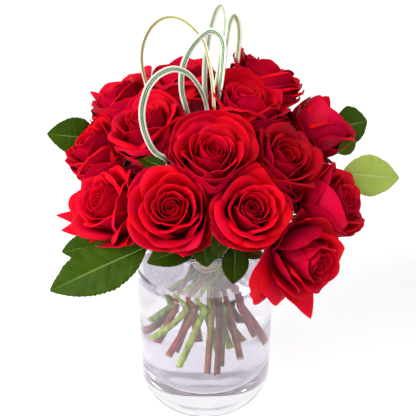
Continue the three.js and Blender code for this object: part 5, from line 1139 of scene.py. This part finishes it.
def make_leaf(i):
    name, start, base, tip, W, tilt, bulge, fold, face = LEAVES[i]
    W = W * {"leaf_front_right": 0.72, "leaf_front_centre": 0.80}.get(name, 1.0)
    rng = np.random.default_rng(700 + i)
    start, base, tip, face = (np.array(x, float) for x in (start, base, tip, face))
    along = tip - base
    side = unit(np.cross(along, unit(face)))
    ax = unit(along)
    th = math.radians(tilt)
    side = side * math.cos(th) + np.cross(ax, side) * math.sin(th) + ax * (ax @ side) * (1 - math.cos(th))
    up = unit(np.cross(side, along))
    mid = (base + tip) / 2 + up * bulge
    nv, nu = 97, 17
    v = np.linspace(0, 1, nv)
    q = v[:, None]
    c = base * (1 - q) ** 2 + 2 * mid * q * (1 - q) + tip * q ** 2
    f = np.interp(v, [0, 0.02, 0.06, 0.13, 0.2, 0.29, 0.38, 0.47, 0.56, 0.65, 0.74, 0.82, 0.9, 0.96, 1.0],
                  [0.05, 0.20, 0.36, 0.60, 0.78, 0.92, 0.99, 1.0, 0.955, 0.86, 0.72, 0.55, 0.345, 0.17, 0.015])
    f = np.convolve(np.pad(f, 2, mode="edge"), [0.1, 0.2, 0.4, 0.2, 0.1], "valid")
    f[-1] = 0.012
    teeth = 21.0
    cy = (v * teeth) % 1.0
    saw = (cy ** 1.3 - 0.5)
    depth = 0.028 * np.clip(v / 0.12, 0, 1) * np.clip((1 - v) / 0.05, 0, 1)
    t = np.linspace(-1, 1, nu)
    t = np.sign(t) * np.abs(t) ** 0.9
    tang = unit(np.gradient(c, axis=0))
    sd = unit(side - tang * (tang @ side)[:, None])
    bn = np.cross(sd, tang)
    e1, e2 = value_noise(40 + i), value_noise(80 + i)
    left = f * W * (1 - 0.03 * e1(v * 9)) * (1 + depth * 2.2 * saw)
    right = f * W * (1 - 0.03 * e2(v * 9)) * (1 + depth * 2.2 * np.roll(saw, 3))
    half = np.where(t[None] < 0, left[:, None], right[:, None])
    x = half * t[None]
    # lift: fold along the midrib, the blade between side veins puffs up, the margin waves
    lift = np.abs(x) * fold
    lift = lift - 0.16 * fold * np.abs(x) * np.abs(t)[None] ** 2
    vein = v[:, None] * 9.0 - np.abs(t)[None] * 0.16 * 9.0
    puff = np.abs(np.sin(np.pi * (vein - 0.5 + 0.5)))
    lift = lift + 0.34 * puff * np.clip(1.2 - np.abs(t)[None], 0, 1) * np.clip(np.abs(t)[None] * 5, 0, 1) * f[:, None] * (W / 18)
    wavy = np.where(t[None] < 0, e1(v * 14 + 2)[:, None], e2(v * 14 + 5)[:, None])
    lift = lift + 1.5 * (W / 18) * wavy * np.abs(t)[None] ** 2.5 * f[:, None]
    lift = lift - 0.35 * np.exp(-(t[None] / 0.07) ** 2) * f[:, None]
    P = c[:, None] + sd[:, None] * x[..., None] + bn[:, None] * lift[..., None]
    b = Builder()
    vv, qq = thick_grid(P, 0.2)
    n = nv * nu
    nrm = grid_normals(P).reshape(-1, 3).mean(0)
    first_up = float(nrm @ up) > 0
    under = np.concatenate([np.zeros(n), np.ones(n)]) if first_up else np.concatenate([np.ones(n), np.zeros(n)])
    T2 = np.tile(np.repeat(t[None], nv, 0).ravel(), 2)
    V2 = np.tile(np.repeat(v[:, None], nu, 1).ravel(), 2)
    tint = LEAF_TINT.get(name, 0.0)
    # the colour scale is painted shade on the leaves under the blooms
    b.add(vv, qq, floats={"across": T2, "along": V2, "under": under, "tint": tint, "shade": LEAF_PAINTED_SHADE.get(name, 1.0)})
    # midrib below the blade and the stalk, one run from the stem into the leaf
    stalk = np.concatenate([start + (base - start) * np.linspace(0, 1, 14)[:, None], c[4:70:4] - bn[4:70:4] * 0.25])
    ds = np.r_[0, np.cumsum(np.linalg.norm(np.diff(stalk, axis=0), axis=1))]
    rad = np.interp(ds, [0, 3, ds[13], ds[-1]], [1.15, 0.85, 0.8, 0.28])
    tv, tq, tt, _ = tube(stalk, rad, 10, frame_hint=(0.31, 1, 0.05))
    b.add(tv, tq, tt, floats={"across": 0.0, "along": 0.5, "under": 1.0, "tint": max(tint, 0.12), "shade": LEAF_PAINTED_SHADE.get(name, 1.0)})
    ob = b.make("rose_" + name)
    return place(ob, LEAF, "leaves", name)


# ---- grass ------------------------------------------------------------------
GRASS_TINT = {"grass_left_loop": 0.75, "grass_right_loop": 0.35, "grass_tall_loop": 0.12}
GRASS_PALE = {"grass_tall_loop": 0.85, "grass_right_loop": 0.65, "grass_middle_loop": 0.25, "grass_left_loop": 0.2}


def make_grass(i):
    name, path, width = GRASS[i]
    p, s = smooth_curve(path, 1.5)
    centre = np.array(path).mean(0)
    n = len(p)
    k = s / s[-1]
    t = unit(np.gradient(p, axis=0))
    depth = np.array([0, -0.84, 0.54])
    out = p - centre
    out = unit(out - t * (out * t).sum(-1, keepdims=True))
    flat = unit(np.cross(t, depth))
    flat = flat * np.where((flat * out).sum(-1, keepdims=True) < 0, -1, 1)
    sd = depth * 0.72 + flat * 0.69
    sd = unit(sd - t * (sd * t).sum(-1, keepdims=True))
    bn = np.cross(sd, t)
    taper = np.minimum(1, 0.35 + 5 * np.minimum(k, 1 - k))
    f = value_noise(60 + i)
    half = width / 2 * taper * (1 + 0.04 * f(k * 9)) * (0.74 if "left" in name else 1.12)
    if name == "grass_front_loop":
        half = half * np.interp(p[:, 0], [-52, -30, -10], [1.0, 0.98, 0.60])
    cols = 9
    u = np.linspace(-1, 1, cols)
    vee = 0.16 * half[:, None] * (np.abs(u)[None] ** 1.2) + 0.05 * np.cos(u * 14)[None]
    P = p[:, None] + sd[:, None] * (half[:, None] * u[None])[..., None] + bn[:, None] * (vee - 0.1 * half[:, None])[..., None]
    v, q = thick_grid(P, 0.22)
    U = np.tile(np.repeat(u[None], n, 0).ravel(), 2)
    K = np.tile(np.repeat(k[:, None], cols, 1).ravel(), 2)
    b = Builder()
    b.add(v, q, floats={"across": U, "along": K, "tint": GRASS_TINT.get(name, 0.0) + i * 0.01, "pale": GRASS_PALE.get(name, 0.0)})
    ob = b.make("striped_" + name)
    return place(ob, BLADE, "grass", name)


# ---- assembly ---------------------------------------------------------------
make_vase()
make_water()
make_tie()
for k in range(len(ROSES)):
    make_bloom(k)
    make_stem(k)
for k in range(len(LEAVES)):
    make_leaf(k)
for k in range(len(GRASS)):
    make_grass(k)


# ---- floor, light and camera ------------------------------------------------
me = bpy.data.meshes.new("floor")
me.from_pydata([(-6, -6, -0.0003), (6, -6, -0.0003), (6, 6, -0.0003), (-6, 6, -0.0003)], [], [(0, 1, 2, 3)])
floor = bpy.data.objects.new("floor", me)
bpy.context.scene.collection.objects.link(floor)
floor.data.materials.append(floor_material())

world = bpy.data.worlds.new("studio")
bpy.context.scene.world = world
world.use_nodes = True
wn = world.node_tree
wn.nodes.clear()
wo = wn.nodes.new("ShaderNodeOutputWorld")
bg = wn.nodes.new("ShaderNodeBackground")
tc = wn.nodes.new("ShaderNodeTexCoord")
sx = wn.nodes.new("ShaderNodeSeparateXYZ")
rp = wn.nodes.new("ShaderNodeValToRGB")
wn.links.new(tc.outputs["Generated"], sx.inputs[0])
wn.links.new(sx.outputs[2], rp.inputs[0])
rp.color_ramp.elements[0].position, rp.color_ramp.elements[0].color = 0.0, (0.82, 0.80, 0.88, 1)
rp.color_ramp.elements[1].position, rp.color_ramp.elements[1].color = 0.55, (1.0, 1.0, 1.0, 1)
wn.links.new(rp.outputs[0], bg.inputs[0])
bg.inputs[1].default_value = 0.92
wn.links.new(bg.outputs[0], wo.inputs[0])


def area(name, place_at, target, size, energy, colour=(1, 1, 1)):
    la = bpy.data.lights.new(name, "AREA")
    la.shape, la.size, la.energy, la.color = "DISK", size, energy, colour
    ob = bpy.data.objects.new(name, la)
    bpy.context.scene.collection.objects.link(ob)
    from mathutils import Vector
    ob.location = place_at
    ob.rotation_euler = (Vector(target) - Vector(place_at)).to_track_quat("-Z", "Y").to_euler()
    return ob


area("key", (-1.25, -0.80, 1.30), (0, 0, 0.24), 1.3, 34.0, (1.0, 0.99, 0.98))
area("fill", (1.3, -0.6, 0.9), (0, 0, 0.22), 1.2, 3.0, (0.98, 0.98, 1.0))

cam = bpy.data.cameras.new("camera")
cam.sensor_width, cam.lens = 36.0, 850 / 416 * 36
co = bpy.data.objects.new("camera", cam)
bpy.context.scene.collection.objects.link(co)
co.location = (0.0025, -0.632, 0.623)
co.rotation_euler = (math.radians(90 - 33), 0, 0)
bpy.context.scene.camera = co

sc = bpy.context.scene
sc.view_settings.view_transform = "Standard"
sc.view_settings.look = "None"
sc.view_settings.exposure = 0.0
sc.view_settings.gamma = 1.0
sc.cycles.max_bounces = 28
sc.cycles.transmission_bounces = 28
sc.cycles.glossy_bounces = 12
sc.cycles.transparent_max_bounces = 32
